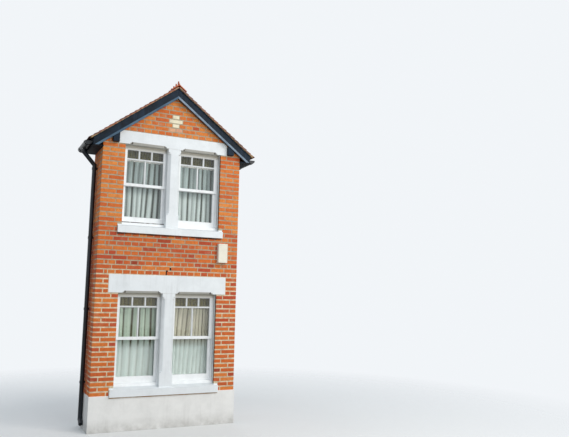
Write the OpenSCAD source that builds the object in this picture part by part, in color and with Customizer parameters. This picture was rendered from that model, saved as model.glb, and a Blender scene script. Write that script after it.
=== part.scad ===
// Two-storey square bay of a brick terrace house, under a gabled clay-tile roof.
// It stands on the ground and ends at the face of the wall it grows out of.
// X runs along the front, the front looks towards -Y, Z is up. Millimetres.

/* [Bay] */
// Outside width of the brickwork
bay_w = 2360; // [2240:1:2480]
// Projection of the brick front from the house wall
bay_d = 710; // [640:1:800]
// Thickness of the solid brick walls
wall_t = 228; // [210:1:250]
// Thickness of the outer half-brick leaf in front of the window frames
leaf_t = 115; // [108:1:120]
// Width of each brick pier beside the window
pier_w = 355; // [330:1:380]
// Height of one brick course with its joint
course = 75.5; // [72:0.5:80]
// Mortar joint
joint = 10; // [8:1:12]
// Height of the rendered plinth
plinth_h = 545; // [480:1:620]
// How far the plinth stands proud of the brick
plinth_out = 14; // [6:1:22]
// Courses from the plinth to the lower lintel
lower_courses = 21; // [20:1:23]
// Courses beside the lower lintel
lower_lintel_courses = 4; // [3:1:4]
// Courses between the lower lintel and the upper sill
spandrel_courses = 9; // [8:1:10]
// Courses beside the upper window
upper_courses = 19; // [18:1:21]
// Courses beside the upper lintel
upper_lintel_courses = 3; // [2:1:4]

/* [Stonework] */
// How far lintels and mullions stand proud of the brick
stone_out = 6; // [2:1:15]
// Bearing of the lower lintel on each pier
lower_bearing = 155; // [100:1:200]
// Bearing of the upper lintel on each pier
upper_bearing = 110; // [90:1:150]
// Width of a mullion at its foot and head
mullion_w = 214; // [190:1:240]
// Leg of the chamfer on the mullions
mullion_chamfer = 46; // [30:1:60]
// Leg of the chamfer under the lintels
lintel_chamfer = 34; // [20:1:45]
// Length of the step that ends a chamfer
stop_l = 26; // [15:1:35]
// Distance of a lintel's chamfer from the mullion
chamfer_in = 62; // [50:1:110]
// Distance of a lintel's chamfer from the brick
chamfer_out = 96; // [50:1:110]
// Height of the square foot of a mullion above the sill
foot_h = 225; // [150:1:280]
// Height of the square head of a mullion below the lintel
head_h = 62; // [40:1:100]
// Height of a sill's front face
sill_face = 108; // [90:1:120]
// How far a sill stands out from the brick
sill_out = 46; // [30:1:60]
// How far a sill runs past the opening at each end
sill_past = 65; // [40:1:90]
// How far a sill runs back under the window frame
sill_under = 30; // [15:1:45]
// How far a sill's underside lies below the course line
sill_drop = 23; // [10:1:30]
// Height from a sill's underside to the bottom of the sashes
sash_rise = 183; // [165:1:200]

/* [Windows] */
// Depth of the box frames
frame_d = 110; // [95:1:112]
// Width of the box of a frame behind the brick
box_hidden = 90; // [70:1:100]
// Width of frame that shows beside the brick and under the lintel
lining = 20; // [15:1:30]
// Thickness of a sash
sash_t = 38; // [32:1:40]
// Face width of sash stiles and top rails
stile_w = 45; // [40:1:52]
// Height of the meeting rails
meeting_h = 46; // [38:1:50]
// Height of a bottom rail
bottom_rail_h = 98; // [80:1:110]
// Thickness of the glass
glass_t = 4; // [3:1:6]
// Height of the small top panes with their bar
small_pane_h = 155; // [130:1:190]
// How far the beads beside the sashes stand in from the frame
bead = 10; // [8:1:14]
// How far a frame's timber sill stands out from it
timber_sill_out = 18; // [10:1:20]
// Height of a frame's timber sill
timber_sill_h = 30; // [25:1:40]

/* [Roof] */
// Roof pitch in degrees
pitch = 37; // [33:0.5:41]
// Depth of the rafters
rafter_d = 100; // [90:1:125]
// Thickness of rafters and joists
joist_w = 50; // [40:1:60]
// Depth of the joists over the upper ceiling
ceiling_joist_d = 75; // [65:1:100]
// Depth of the ridge board
ridge_board_d = 170; // [140:1:200]
// Thickness of the ridge board
ridge_board_t = 36; // [25:1:45]
// Thickness of the roof boards
board_t = 25; // [18:1:30]
// Thickness of the layered tiles
tile_t = 35; // [28:1:42]
// How far the tiles reach past the wall at the eaves
eaves_out = 228; // [210:1:245]
// How far the barge boards' backs stand off the brick
verge_gap = 50; // [40:1:60]
// Thickness of a barge board
barge_t = 30; // [22:1:38]
// Depth of a barge board
barge_d = 145; // [125:1:165]
// Width of the moulding along a barge board's lower edge
moulding_w = 34; // [20:1:50]
// How far that moulding stands out
moulding_out = 14; // [8:1:20]
// Width of the blocks that carry the barge boards
block_w = 100; // [80:1:120]
// How far the tiles reach past the barge boards
tile_past = 38; // [20:1:50]
// How far the fascia stands back from the tiles' edge
fascia_in = 63; // [55:1:75]
// How far the soffit lies below the top of the wall
soffit_drop = 94; // [85:1:105]
// Length of one ridge tile
ridge_tile_l = 410; // [380:1:460]
// Leg of a ridge tile's angle
ridge_leg = 130; // [110:1:150]
// Height of the crest on the ridge tiles
crest_h = 88; // [60:1:110]

/* [Gutters] */
// Radius of the gutters
gutter_r = 58; // [50:1:62]
// Thickness of the gutters
gutter_t = 4; // [3:1:6]
// Width of a gutter bracket
bracket_w = 22; // [15:1:30]
// Radius of the rain pipe
pipe_r = 34; // [30:1:38]
// Gap between the rain pipe and the wall
pipe_gap = 16; // [10:1:30]
// Distance of the rain pipe from the house wall
pipe_in = 290; // [60:1:400]
// How far the pipe's bend lies below the top of the wall
neck_drop = 330; // [250:1:400]
// Height of the pipe's foot above the ground
shoe_z = 150; // [100:1:200]
// Length of the slanting shoe
shoe_l = 110; // [90:1:130]
// Height of the lowest pipe clip
clip_z = 700; // [500:1:900]

/* [Inside] */
// Height of the ground floor above the ground
ground_floor_z = 225; // [215:1:260]
// Height of the first floor above the ground
first_floor_z = 2510; // [2480:1:2560]
// Depth of the floor joists
joist_d = 150; // [120:1:150]
// Thickness of floor boards
floor_t = 22; // [18:1:28]
// Thickness of plaster
plaster_t = 12; // [10:1:16]
// Height of the inner lintels
inner_lintel_h = 150; // [120:1:165]

/* [Alarm box] */
// Width of the alarm box
box_w = 166; // [140:1:190]
// Height of the alarm box
box_h = 322; // [280:1:360]
// Depth of the alarm box
box_d = 84; // [60:1:95]

/* [Hidden] */
$fn = 48;
eps = 0.01;
far = 5000;

// Plan: the middle of the whole depth lies at y = 0.
verge_y_out = verge_gap + barge_t + tile_past;
front_y = (verge_y_out - bay_d) / 2;
back_y = front_y + bay_d;
inner_y = front_y + wall_t;
half_w = bay_w / 2;
inner_x = half_w - wall_t;
open_x = half_w - pier_w;
frame_x = open_x + box_hidden;
frame_y = front_y + leaf_t;
frame_back = frame_y + frame_d;
sill_back_y = frame_y + sill_under;
sill_x = open_x + sill_past;

// Levels
lower_lintel_z = plinth_h + lower_courses * course;
lower_lintel_h = lower_lintel_courses * course - joint;
spandrel_z = lower_lintel_z + lower_lintel_courses * course;
upper_sill_line = spandrel_z + spandrel_courses * course;
wall_top = upper_sill_line + upper_courses * course;
upper_lintel_z = wall_top;
upper_lintel_h = upper_lintel_courses * course - joint;
lower_sill_z = plinth_h - sill_drop;
upper_sill_z = upper_sill_line - sill_drop;

// Sashes fill each light between the mullion and the lining beside the brick.
light_x0 = mullion_w / 2;
light_x1 = open_x - lining;
frame_gap = 4;
outer_lining = 15;
parting_t = 8;
top_sash_y = frame_y + outer_lining;
bottom_sash_y = top_sash_y + sash_t + parting_t;

// Roof lines: height of the tiles' top at x = 0, and drops measured straight down
slope = tan(pitch);
plumb = 1 / cos(pitch);
tile_top = wall_top + slope * half_w + (rafter_d + board_t + tile_t) * plumb;
boards_top = tile_top - tile_t * plumb;
rafter_top = boards_top - board_t * plumb;
rafter_low = rafter_top - rafter_d * plumb;
verge_y = front_y - verge_y_out;
barge_back = front_y - verge_gap;
barge_front = barge_back - barge_t;
eaves_x = half_w + eaves_out;
fascia_t = 20;
foot_x = eaves_x - fascia_in;
soffit_z = wall_top - soffit_drop;
soffit_t = 12;
ridge_half = ridge_board_t / 2;
ridge_low = rafter_top - ridge_board_d;

joist_pocket = 100;
joist_gap = 20;
mid_y = (inner_y + back_y - joist_w) / 2;
joist_ys = [inner_y + joist_gap, mid_y, back_y - joist_w - joist_gap];
plate_w = 100;
plate_h = 100;
plate_x = inner_x + 20;
plate_top = wall_top + plate_h;

// Inner window boards, curtains and their rods
board_h = 25;
board_w = 75;
rod_r = 8;
rod_y = inner_y + 40;
curtain_t = 44;
valance_t = 26;
curtain_past = 20;
hem_gap = 12;
seat = 0.3;
levels = [[lower_sill_z, lower_lintel_z], [upper_sill_z, upper_lintel_z]];
function rod_z(lintel_z) = sash_high(lintel_z) - stile_w - small_pane_h;

brick = "#c8602f";
stone = "#e6e9e8";
paint = "#f0f3f4";
timber = "#c79a63";
dark_paint = "#27313d";
clay = "#8a4a3c";
black = "#20252b";

// Box from one corner to the other
module span(a, b) {
    translate(a) cube(b - a);
}

// The same thing on both sides of the middle
module both_sides() {
    children();
    mirror([1, 0, 0]) children();
}

// Flat shape drawn in X and Z, carried along Y from y0 to y1
module carried(y0, y1) {
    translate([0, y1, 0]) rotate([90, 0, 0]) linear_extrude(y1 - y0) children();
}

// Flat shape drawn in Y and Z, carried along X from x0 to x1
module run_along(x0, x1) {
    translate([x0, 0, 0]) rotate([90, 0, 90]) linear_extrude(x1 - x0) children();
}

// Masonry

module front_plinth() {
    color(stone)
    difference() {
        union() {
            span([-half_w - plinth_out, front_y - plinth_out, 0], [half_w + plinth_out, inner_y, plinth_h]);
            span([-open_x, sill_back_y, plinth_h], [open_x, inner_y, sill_back_z(lower_sill_z)]);
        }
        // bed of the sill
        span([-sill_x, front_y - plinth_out - 1, lower_sill_z], [sill_x, sill_back_y, plinth_h + 1]);
    }
}

module side_plinths() {
    color(stone)
    difference() {
        both_sides() span([inner_x, inner_y, 0], [half_w + plinth_out, back_y, plinth_h]);
        joists(ground_floor_z);
    }
}

module side_wall() {
    color(brick)
    difference() {
        span([inner_x, inner_y, plinth_h], [half_w, back_y, wall_top]);
        joists(first_floor_z);
    }
}

module right_wall() side_wall();
module left_wall() mirror([1, 0, 0]) side_wall();

// What a pier leaves free for one storey's sill, frame and lintels
module window_seat(sill_z, lintel_z, lintel_h, bearing) {
    span([0, front_y - 1, sill_z], [sill_x, sill_back_y, sill_back_z(sill_z)]);
    span([0, frame_y, sill_back_z(sill_z)], [frame_x, inner_y + 1, lintel_z]);
    span([0, front_y - 1, lintel_z], [open_x + bearing, frame_y, lintel_z + lintel_h]);
    span([0, frame_y, lintel_z], [open_x + bearing, inner_y + 1, lintel_z + inner_lintel_h]);
}

module pier() {
    color(brick)
    difference() {
        span([open_x, front_y, plinth_h], [half_w, inner_y, wall_top]);
        window_seat(lower_sill_z, lower_lintel_z, lower_lintel_h, lower_bearing);
        window_seat(upper_sill_z, upper_lintel_z, upper_lintel_h, upper_bearing);
    }
}

module right_pier() pier();
module left_pier() mirror([1, 0, 0]) pier();

module spandrel_wall() {
    color(brick)
    run_along(-open_x, open_x) polygon([
        [front_y, lower_lintel_z + lower_lintel_h], [frame_y, lower_lintel_z + lower_lintel_h],
        [frame_y, lower_lintel_z + inner_lintel_h], [inner_y, lower_lintel_z + inner_lintel_h],
        [inner_y, sill_back_z(upper_sill_z)], [sill_back_y, sill_back_z(upper_sill_z)],
        [sill_back_y, upper_sill_z], [front_y, upper_sill_z]
    ]);
}

module gable_wall() {
    color(brick)
    difference() {
        carried(front_y, inner_y) polygon([
            [-half_w, wall_top], [half_w, wall_top], [half_w, rafter_top - slope * half_w],
            [0, rafter_top], [-half_w, rafter_top - slope * half_w]
        ]);
        both_sides() window_seat(upper_sill_z, upper_lintel_z, upper_lintel_h, upper_bearing);
        span([-ridge_half, front_y - 1, ridge_low], [ridge_half, inner_y + 1, rafter_top + 1]);
    }
}

// Stonework

// Share of a chamfer's leg that its stop has
stop_share = 0.58;

// Square bar on its edge, which cuts a chamfer of the given leg along Z
module chamfer_bar(leg, length) {
    rotate([0, 0, 45]) translate([-leg / sqrt(2), -leg / sqrt(2), 0])
        cube([leg * sqrt(2), leg * sqrt(2), length]);
}

// Chamfer cut along the edge at (x, y), with a stepped stop at each end
module upright_chamfer(x, y, z0, z1, leg) {
    translate([x, y, z0]) chamfer_bar(leg, z1 - z0);
    translate([x, y, z0 - stop_l]) chamfer_bar(leg * stop_share, z1 - z0 + 2 * stop_l);
}

module level_chamfer(x0, x1, y, z, leg) {
    translate([x0, y, z]) rotate([0, 90, 0]) chamfer_bar(leg, x1 - x0);
    translate([x0 - stop_l, y, z]) rotate([0, 90, 0]) chamfer_bar(leg * stop_share, x1 - x0 + 2 * stop_l);
}

module lintel(z, h, bearing) {
    color(stone)
    difference() {
        span([-open_x - bearing, front_y - stone_out, z], [open_x + bearing, frame_y, z + h]);
        both_sides()
            level_chamfer(light_x0 + chamfer_in, open_x - chamfer_out, front_y - stone_out, z, lintel_chamfer);
    }
}

module lower_lintel() lintel(lower_lintel_z, lower_lintel_h, lower_bearing);
module upper_lintel() lintel(upper_lintel_z, upper_lintel_h, upper_bearing);

module inner_lintels() {
    color(timber)
    for (spec = [[lower_lintel_z, lower_bearing], [upper_lintel_z, upper_bearing]])
        span([-open_x - spec[1], frame_y, spec[0]], [open_x + spec[1], inner_y, spec[0] + inner_lintel_h]);
}

module mullion(sill_z, lintel_z) {
    z0 = sill_back_z(sill_z);
    color(stone)
    difference() {
        span([-mullion_w / 2, front_y - stone_out, z0], [mullion_w / 2, frame_y, lintel_z]);
        both_sides() upright_chamfer(light_x0, front_y - stone_out, z0 + foot_h,
            lintel_z - head_h - stop_l, mullion_chamfer);
    }
}

module lower_mullion() mullion(lower_sill_z, lower_lintel_z);
module upper_mullion() mullion(upper_sill_z, upper_lintel_z);

// Height of a sill's level seat, on which the frame stands
frame_foot = 45;
function sill_back_z(z) = z + sash_rise - frame_foot;
seat_out = 20;
drip_r = 6;
drip_in = 16;

module sill(z) {
    color(stone)
    difference() {
        union() {
            run_along(-sill_x, sill_x) polygon([
                [front_y - sill_out, z], [front_y - sill_out, z + sill_face],
                [frame_y - seat_out, sill_back_z(z)], [sill_back_y, sill_back_z(z)], [sill_back_y, z]
            ]);
            // level seats under the piers and the mullion
            both_sides() span([open_x, front_y, z], [sill_x, sill_back_y, sill_back_z(z)]);
            span([-light_x0, front_y - stone_out, z], [light_x0, frame_y, sill_back_z(z)]);
        }
        translate([-far / 2, front_y - sill_out + drip_in, z]) rotate([0, 90, 0]) cylinder(h = far, r = drip_r);
    }
}

module lower_sill() sill(lower_sill_z);
module upper_sill() sill(upper_sill_z);

// Windows

// Opening of a frame from y0 to y1, drawn in at its sides and top
module frame_light(sill_z, lintel_z, y0, y1, inset) {
    span([light_x0 + inset, y0, sash_low(sill_z)], [light_x1 - inset, y1, sash_high(lintel_z) - inset]);
}

// Beads part the two sashes and hold the inner one.
module frame(sill_z, lintel_z) {
    difference() {
        span([frame_gap, frame_y, sill_back_z(sill_z)], [frame_x, frame_back, lintel_z]);
        frame_light(sill_z, lintel_z, frame_y - 1, top_sash_y + sash_t, 0);
        frame_light(sill_z, lintel_z, top_sash_y + sash_t, bottom_sash_y, bead);
        frame_light(sill_z, lintel_z, bottom_sash_y, bottom_sash_y + sash_t, 0);
        frame_light(sill_z, lintel_z, bottom_sash_y + sash_t, frame_back + 1, bead);
    }
    span([light_x0, frame_y - timber_sill_out, sill_back_z(sill_z)],
        [open_x, frame_y, sill_back_z(sill_z) + timber_sill_h]);
}

module window_frames(sill_z, lintel_z) {
    color(paint) both_sides() frame(sill_z, lintel_z);
}

module lower_frames() window_frames(lower_sill_z, lower_lintel_z);
module upper_frames() window_frames(upper_sill_z, upper_lintel_z);

function sash_low(sill_z) = sill_z + sash_rise;
function sash_high(lintel_z) = lintel_z - lining;
function meeting_z(sill_z, lintel_z) = (sash_low(sill_z) + sash_high(lintel_z)) / 2 - meeting_h / 2;

// Rails and stiles round one sheet of glass
module sash(y, z0, z1, low_rail, top_rail) {
    difference() {
        span([light_x0, y, z0], [light_x1, y + sash_t, z1]);
        span([light_x0 + stile_w, y - 1, z0 + low_rail], [light_x1 - stile_w, y + sash_t + 1, z1 - top_rail]);
    }
}

// The top sashes slide outside the bottom ones
module sashes(sill_z, lintel_z) {
    m = meeting_z(sill_z, lintel_z);
    color(paint) both_sides() {
        sash(top_sash_y, m, sash_high(lintel_z), meeting_h, stile_w);
        sash(bottom_sash_y, sash_low(sill_z), m + meeting_h, bottom_rail_h, meeting_h);
    }
}

module lower_sashes() sashes(lower_sill_z, lower_lintel_z);
module upper_sashes() sashes(upper_sill_z, upper_lintel_z);

module glass(sill_z, lintel_z) {
    m = meeting_z(sill_z, lintel_z);
    mid = (sash_t - glass_t) / 2;
    color("#bcd3d6", 0.4) both_sides() {
        span([light_x0 + stile_w, top_sash_y + mid, m + meeting_h],
            [light_x1 - stile_w, top_sash_y + mid + glass_t, sash_high(lintel_z) - stile_w]);
        span([light_x0 + stile_w, bottom_sash_y + mid, sash_low(sill_z) + bottom_rail_h],
            [light_x1 - stile_w, bottom_sash_y + mid + glass_t, m]);
    }
}

module lower_glass() glass(lower_sill_z, lower_lintel_z);
module upper_glass() glass(upper_sill_z, upper_lintel_z);

module window_boards() {
    color(paint)
    for (z = [sash_low(lower_sill_z), sash_low(upper_sill_z)])
        span([-frame_x, frame_back, z - board_h], [frame_x, frame_back + board_w, z]);
}

// Curtains hang from a rod at the bar under the small panes.
module curtains() {
    color("#dfe6e2")
    for (level = levels) both_sides()
        span([curtain_past, rod_y - curtain_t / 2, sash_low(level[0]) + hem_gap],
            [light_x1 + curtain_past, rod_y + curtain_t / 2, rod_z(level[1]) - rod_r - seat]);
}

module valances() {
    color("#6d6a45")
    for (level = levels)
        span([-light_x1 - curtain_past, rod_y - valance_t / 2, rod_z(level[1]) + rod_r + seat],
            [light_x1 + curtain_past, rod_y + valance_t / 2, level[1] - lining / 2]);
}

module curtain_rods() {
    color("#d8d8d2")
    for (level = levels)
        translate([-inner_x + plaster_t, rod_y, rod_z(level[1])]) rotate([0, 90, 0])
            cylinder(h = 2 * (inner_x - plaster_t), r = rod_r);
}

// Linings, floors and ceilings

module storey_plaster(z0, z1, sill_z, lintel_z) {
    color("#e9e4d6")
    difference() {
        span([-inner_x, inner_y, z0], [inner_x, back_y, z1]);
        span([-inner_x + plaster_t, inner_y + plaster_t, z0 - 1], [inner_x - plaster_t, back_y + 1, z1 + 1]);
        span([-frame_x, inner_y - 1, sash_low(sill_z) - board_h], [frame_x, inner_y + plaster_t + 1, lintel_z]);
    }
}

module plaster() {
    storey_plaster(ground_floor_z, first_floor_z - floor_t - joist_d, lower_sill_z, lower_lintel_z);
    storey_plaster(first_floor_z, plate_top - plaster_t, upper_sill_z, upper_lintel_z);
}

module joists(top_z) {
    for (y = joist_ys)
        span([-inner_x - joist_pocket, y, top_z - floor_t - joist_d],
            [inner_x + joist_pocket, y + joist_w, top_z - floor_t]);
}

module floor_joists() {
    color(timber) {
        joists(ground_floor_z);
        joists(first_floor_z);
    }
}

module floor_boards(top_z) {
    color("#b98a55") span([-inner_x, inner_y, top_z - floor_t], [inner_x, back_y, top_z]);
}

module ground_floor() floor_boards(ground_floor_z);
module first_floor() floor_boards(first_floor_z);

module ceilings() {
    color("#efece2")
    for (z = [first_floor_z - floor_t - joist_d, plate_top])
        span([-inner_x + plaster_t, inner_y + plaster_t, z - plaster_t], [inner_x - plaster_t, back_y, z]);
}

// Roof

module plate_bodies() {
    both_sides() span([plate_x, inner_y, wall_top], [plate_x + plate_w, back_y, plate_top]);
}

module wall_plates() color(timber) plate_bodies();

// Place and thickness of each pair of rafters
rafter_rows = [[barge_back, verge_gap], [inner_y, joist_w], [mid_y, joist_w], [back_y - joist_w, joist_w]];

module ridge_board() {
    color(timber)
    span([-ridge_half, barge_back, ridge_low], [ridge_half, back_y, rafter_top - slope * ridge_half]);
}

module rafters() {
    color(timber)
    difference() {
        for (row = rafter_rows)
            both_sides() intersection() {
                carried(row[0], row[0] + row[1]) polygon([
                    [ridge_half, rafter_top - slope * ridge_half], [ridge_half, rafter_low - slope * ridge_half],
                    [foot_x - fascia_t, rafter_low - slope * (foot_x - fascia_t)],
                    [foot_x - fascia_t, rafter_top - slope * (foot_x - fascia_t)]
                ]);
                span([0, row[0] - 1, soffit_z + soffit_t], [far, row[0] + row[1] + 1, far * 2]);
            }
        plate_bodies();
        span([-half_w, front_y, 0], [half_w, inner_y, wall_top]);
    }
}

// Each ceiling joist lies beside a rafter, on the plates.
module ceiling_joists() {
    joist_x = plate_x + 0.4 * plate_w;
    color(timber)
    for (y = [inner_y + joist_w, mid_y + joist_w, back_y - 2 * joist_w])
        span([-joist_x, y, plate_top], [joist_x, y + joist_w, plate_top + ceiling_joist_d]);
}

// A band of one roof slope from x0 down to x1, between two heights measured at the middle
module roof_band(top, low, x0, x1, y0, y1) {
    carried(y0, y1) polygon([
        [x0, top - slope * x0], [x1, top - slope * x1], [x1, low - slope * x1], [x0, low - slope * x0]
    ]);
}

module roof_boards() {
    color(timber) both_sides() roof_band(boards_top, rafter_top, seat, foot_x - fascia_t, barge_back, back_y);
}

module tiles() {
    color(clay) roof_band(tile_top, boards_top, 0, eaves_x, verge_y, back_y);
}

module right_tiles() tiles();
module left_tiles() mirror([1, 0, 0]) tiles();

// Ridge tiles: an angle of clay with a crest of three knobs, and a joint between the tiles
ridge_t = 14;
ridge_joint = 4;
band_h = 30;
crest_half = 8;
knob_foot = 31;
knob_r = 17;
knobs = 3;

module knob() {
    polygon([[-knob_foot, band_h], [knob_foot, band_h], [knob_r, crest_h - knob_r], [-knob_r, crest_h - knob_r]]);
    translate([0, crest_h - knob_r]) circle(r = knob_r);
}

module ridge_tile(y, length) {
    ridge_top = tile_top + ridge_t * plumb;
    carried(y, y + length) polygon([
        [0, ridge_top], [ridge_leg, ridge_top - slope * ridge_leg], [ridge_leg, tile_top - slope * ridge_leg],
        [0, tile_top], [-ridge_leg, tile_top - slope * ridge_leg], [-ridge_leg, ridge_top - slope * ridge_leg]
    ]);
    run_along(-crest_half, crest_half) translate([y, tile_top]) {
        translate([0, ridge_t / 2]) square([length, band_h - ridge_t / 2]);
        for (i = [0:knobs - 1]) translate([(i + 0.5) * length / knobs, 0]) knob();
    }
}

module ridge_tiles() {
    count = round((back_y - verge_y) / ridge_tile_l);
    step = (back_y - verge_y + ridge_joint) / count;
    color("#b35a3a") for (i = [0:count - 1]) ridge_tile(verge_y + i * step, step - ridge_joint);
}

// Foot of a barge board: plumb end with a level underside
module barge_board() {
    top = boards_top;
    low = boards_top - barge_d * plumb;
    color(dark_paint) {
        carried(barge_front, barge_back) polygon([
            [0, top], [foot_x, top - slope * foot_x], [foot_x, soffit_z],
            [(low - soffit_z) / slope, soffit_z], [0, low]
        ]);
        // moulding planted along the lower edge
        carried(barge_front - moulding_out, barge_front) polygon([
            [0, low + moulding_w * plumb], [(low + moulding_w * plumb - soffit_z) / slope, soffit_z],
            [(low - soffit_z) / slope, soffit_z], [0, low]
        ]);
    }
}

module right_barge_board() barge_board();
module left_barge_board() mirror([1, 0, 0]) barge_board();

// Timber blocks beside the upper lintel that carry the barge boards
block_gap = 3;
module barge_blocks() {
    x0 = open_x + upper_bearing + block_gap;
    x1 = x0 + block_w;
    low = boards_top - barge_d * plumb;
    color(dark_paint) both_sides()
        carried(barge_front, front_y) polygon([
            [x0, wall_top + block_gap], [x1, wall_top + block_gap],
            [x1, low - slope * x1], [x0, low - slope * x0]
        ]);
}

module eaves_boards() {
    color(dark_paint) both_sides() {
        span([half_w, barge_back, soffit_z], [foot_x, back_y, soffit_z + soffit_t]);
        carried(barge_back, back_y) polygon([
            [foot_x - fascia_t, soffit_z], [foot_x, soffit_z],
            [foot_x, boards_top - slope * foot_x], [foot_x - fascia_t, boards_top - slope * (foot_x - fascia_t)]
        ]);
    }
}

// Gutters on brackets, the left one with an outlet into the rain pipe
bracket_t = 8;
strap_t = 6;
gutter_past = 10;
gutter_x = foot_x + gutter_r + bracket_t;
gutter_z = soffit_z + soffit_drop * 0.7;
gutter_y0 = front_y - gutter_past;
bracket_in = 60;
outlet_h = 36;
outlet_t = 5;

module half_ring(r_out, r_in) {
    difference() {
        circle(r = r_out);
        if (r_in > 0) circle(r = r_in);
        translate([-far, 0]) square([2 * far, far]);
    }
}

module gutter_bracket(y) {
    difference() {
        union() {
            span([foot_x, y, gutter_z - gutter_r - gutter_t], [foot_x + bracket_t, y + bracket_w, gutter_z]);
            translate([gutter_x, 0, gutter_z]) carried(y, y + bracket_w) half_ring(gutter_r + strap_t, 0);
        }
        translate([gutter_x, 0, gutter_z]) carried(y - 1, y + bracket_w + 1) circle(r = gutter_r - 1);
    }
}

module gutter() {
    translate([gutter_x, 0, gutter_z]) {
        carried(gutter_y0, back_y) half_ring(gutter_r, gutter_r - gutter_t);
        carried(gutter_y0 - gutter_t, gutter_y0) half_ring(gutter_r, 0);
    }
    for (y = [gutter_y0 + bracket_in, back_y - 2 * bracket_in]) gutter_bracket(y);
}

module gutters() {
    color(black) {
        gutter();
        difference() {
            union() {
                mirror([1, 0, 0]) gutter();
                translate([-gutter_x, pipe_y, pipe_top - outlet_h])
                    cylinder(h = outlet_h + gutter_t, r = pipe_r + outlet_t);
            }
            translate([-gutter_x, pipe_y, pipe_top - outlet_h - 1])
                cylinder(h = outlet_h + 1 + gutter_r, r = pipe_r + seat);
        }
    }
}

// Rain pipe down the left side, with a bend under the gutter and a shoe at its foot
pipe_y = back_y - pipe_in;
pipe_x = -half_w - pipe_r - pipe_gap;
pipe_top = gutter_z - gutter_r;
neck_low = wall_top - neck_drop;
neck_high = pipe_top - outlet_h - 4;
bend_r = pipe_r + 2;
shoe_angle = 125;
clip_h = 40;
clip_t = 6;
ear_half = 16;
clips = 4;

module rain_pipe() {
    shift = -gutter_x - pipe_x;
    drop = neck_high - neck_low;
    color(black) {
        translate([pipe_x, pipe_y, shoe_z]) {
            cylinder(h = neck_low - shoe_z, r = pipe_r);
            sphere(r = bend_r);
            rotate([shoe_angle, 0, 0]) cylinder(h = shoe_l, r = pipe_r);
        }
        translate([pipe_x, pipe_y, neck_low]) {
            sphere(r = bend_r);
            rotate([0, atan2(shift, drop), 0]) cylinder(h = sqrt(shift * shift + drop * drop), r = pipe_r);
        }
        translate([-gutter_x, pipe_y, neck_high]) {
            sphere(r = bend_r);
            cylinder(h = pipe_top - neck_high, r = pipe_r);
        }
        for (i = [0:clips - 1])
            translate([pipe_x, pipe_y, clip_z + i * (neck_low - 2 * clip_h - clip_z) / (clips - 1)]) {
                cylinder(h = clip_h, r = pipe_r + clip_t);
                span([0, -ear_half, 0.1 * clip_h], [-half_w - pipe_x, ear_half, 0.9 * clip_h]);
            }
    }
}

// Alarm box with a recessed panel in its cover and bevelled corners
module alarm_box() {
    box_x = open_x - 16;
    box_z = spandrel_z + 3.15 * course;
    bevel = 14;
    rim = 10;
    color("#e9e3cf")
    translate([box_x, front_y - box_d, box_z]) difference() {
        cube([box_w, box_d, box_h]);
        translate([rim, -1, 4 * rim]) cube([box_w - 2 * rim, 4, box_h - 6 * rim]);
        for (x = [0, box_w])
            translate([x, 0, -1]) rotate([0, 0, 45]) cube([bevel, bevel, 2 * box_h + 4], center = true);
    }
}

front_plinth();
side_plinths();
left_wall();
right_wall();
left_pier();
right_pier();
spandrel_wall();
gable_wall();
lower_lintel();
upper_lintel();
inner_lintels();
lower_mullion();
upper_mullion();
lower_sill();
upper_sill();
lower_frames();
upper_frames();
lower_sashes();
upper_sashes();
lower_glass();
upper_glass();
window_boards();
curtains();
valances();
curtain_rods();
plaster();
floor_joists();
ground_floor();
first_floor();
ceilings();
wall_plates();
ceiling_joists();
rafters();
ridge_board();
roof_boards();
left_tiles();
right_tiles();
ridge_tiles();
left_barge_board();
right_barge_board();
barge_blocks();
eaves_boards();
gutters();
rain_pipe();
alarm_box();
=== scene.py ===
"""Two-storey square brick bay under a gabled clay-tile roof: its bricks, tiles, glazing bars, cloth and finishes.

Metres, +Z up. The front looks towards -Y, and the back ends at the face of the house wall.
"""

import math

import bpy
import numpy as np
from mathutils import Matrix, Vector


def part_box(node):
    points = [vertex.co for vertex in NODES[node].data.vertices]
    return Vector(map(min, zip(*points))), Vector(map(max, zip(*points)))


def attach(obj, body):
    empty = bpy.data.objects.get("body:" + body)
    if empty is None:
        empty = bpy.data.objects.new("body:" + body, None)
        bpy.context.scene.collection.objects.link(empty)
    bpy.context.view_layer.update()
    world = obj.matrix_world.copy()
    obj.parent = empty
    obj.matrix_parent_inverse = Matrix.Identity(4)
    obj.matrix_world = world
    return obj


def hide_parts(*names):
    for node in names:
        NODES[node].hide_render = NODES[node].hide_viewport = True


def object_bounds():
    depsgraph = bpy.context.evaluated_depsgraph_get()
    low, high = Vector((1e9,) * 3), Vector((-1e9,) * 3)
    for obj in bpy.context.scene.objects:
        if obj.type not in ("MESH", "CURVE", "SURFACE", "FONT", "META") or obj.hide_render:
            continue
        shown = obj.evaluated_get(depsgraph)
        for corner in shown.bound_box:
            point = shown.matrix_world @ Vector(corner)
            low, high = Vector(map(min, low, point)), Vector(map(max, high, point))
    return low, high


bl_info = {
    "name": "Brick bay window",
    "version": (1, 0, 0),
    "blender": (4, 5, 0),
    "location": "View3D > Sidebar > Bay window",
    "description": "Bricks, tiles, glazing bars, curtains and finishes of a two-storey brick bay",
    "category": "Add Mesh",
}

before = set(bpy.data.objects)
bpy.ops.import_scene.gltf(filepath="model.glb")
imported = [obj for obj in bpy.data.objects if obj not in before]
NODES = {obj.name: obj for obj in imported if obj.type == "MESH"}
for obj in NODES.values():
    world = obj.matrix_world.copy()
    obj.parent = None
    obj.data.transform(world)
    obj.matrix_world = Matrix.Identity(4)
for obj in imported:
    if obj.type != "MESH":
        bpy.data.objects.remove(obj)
CAD_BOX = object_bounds()
LOW = {name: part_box(name)[0] for name in NODES}
HIGH = {name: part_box(name)[1] for name in NODES}

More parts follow.
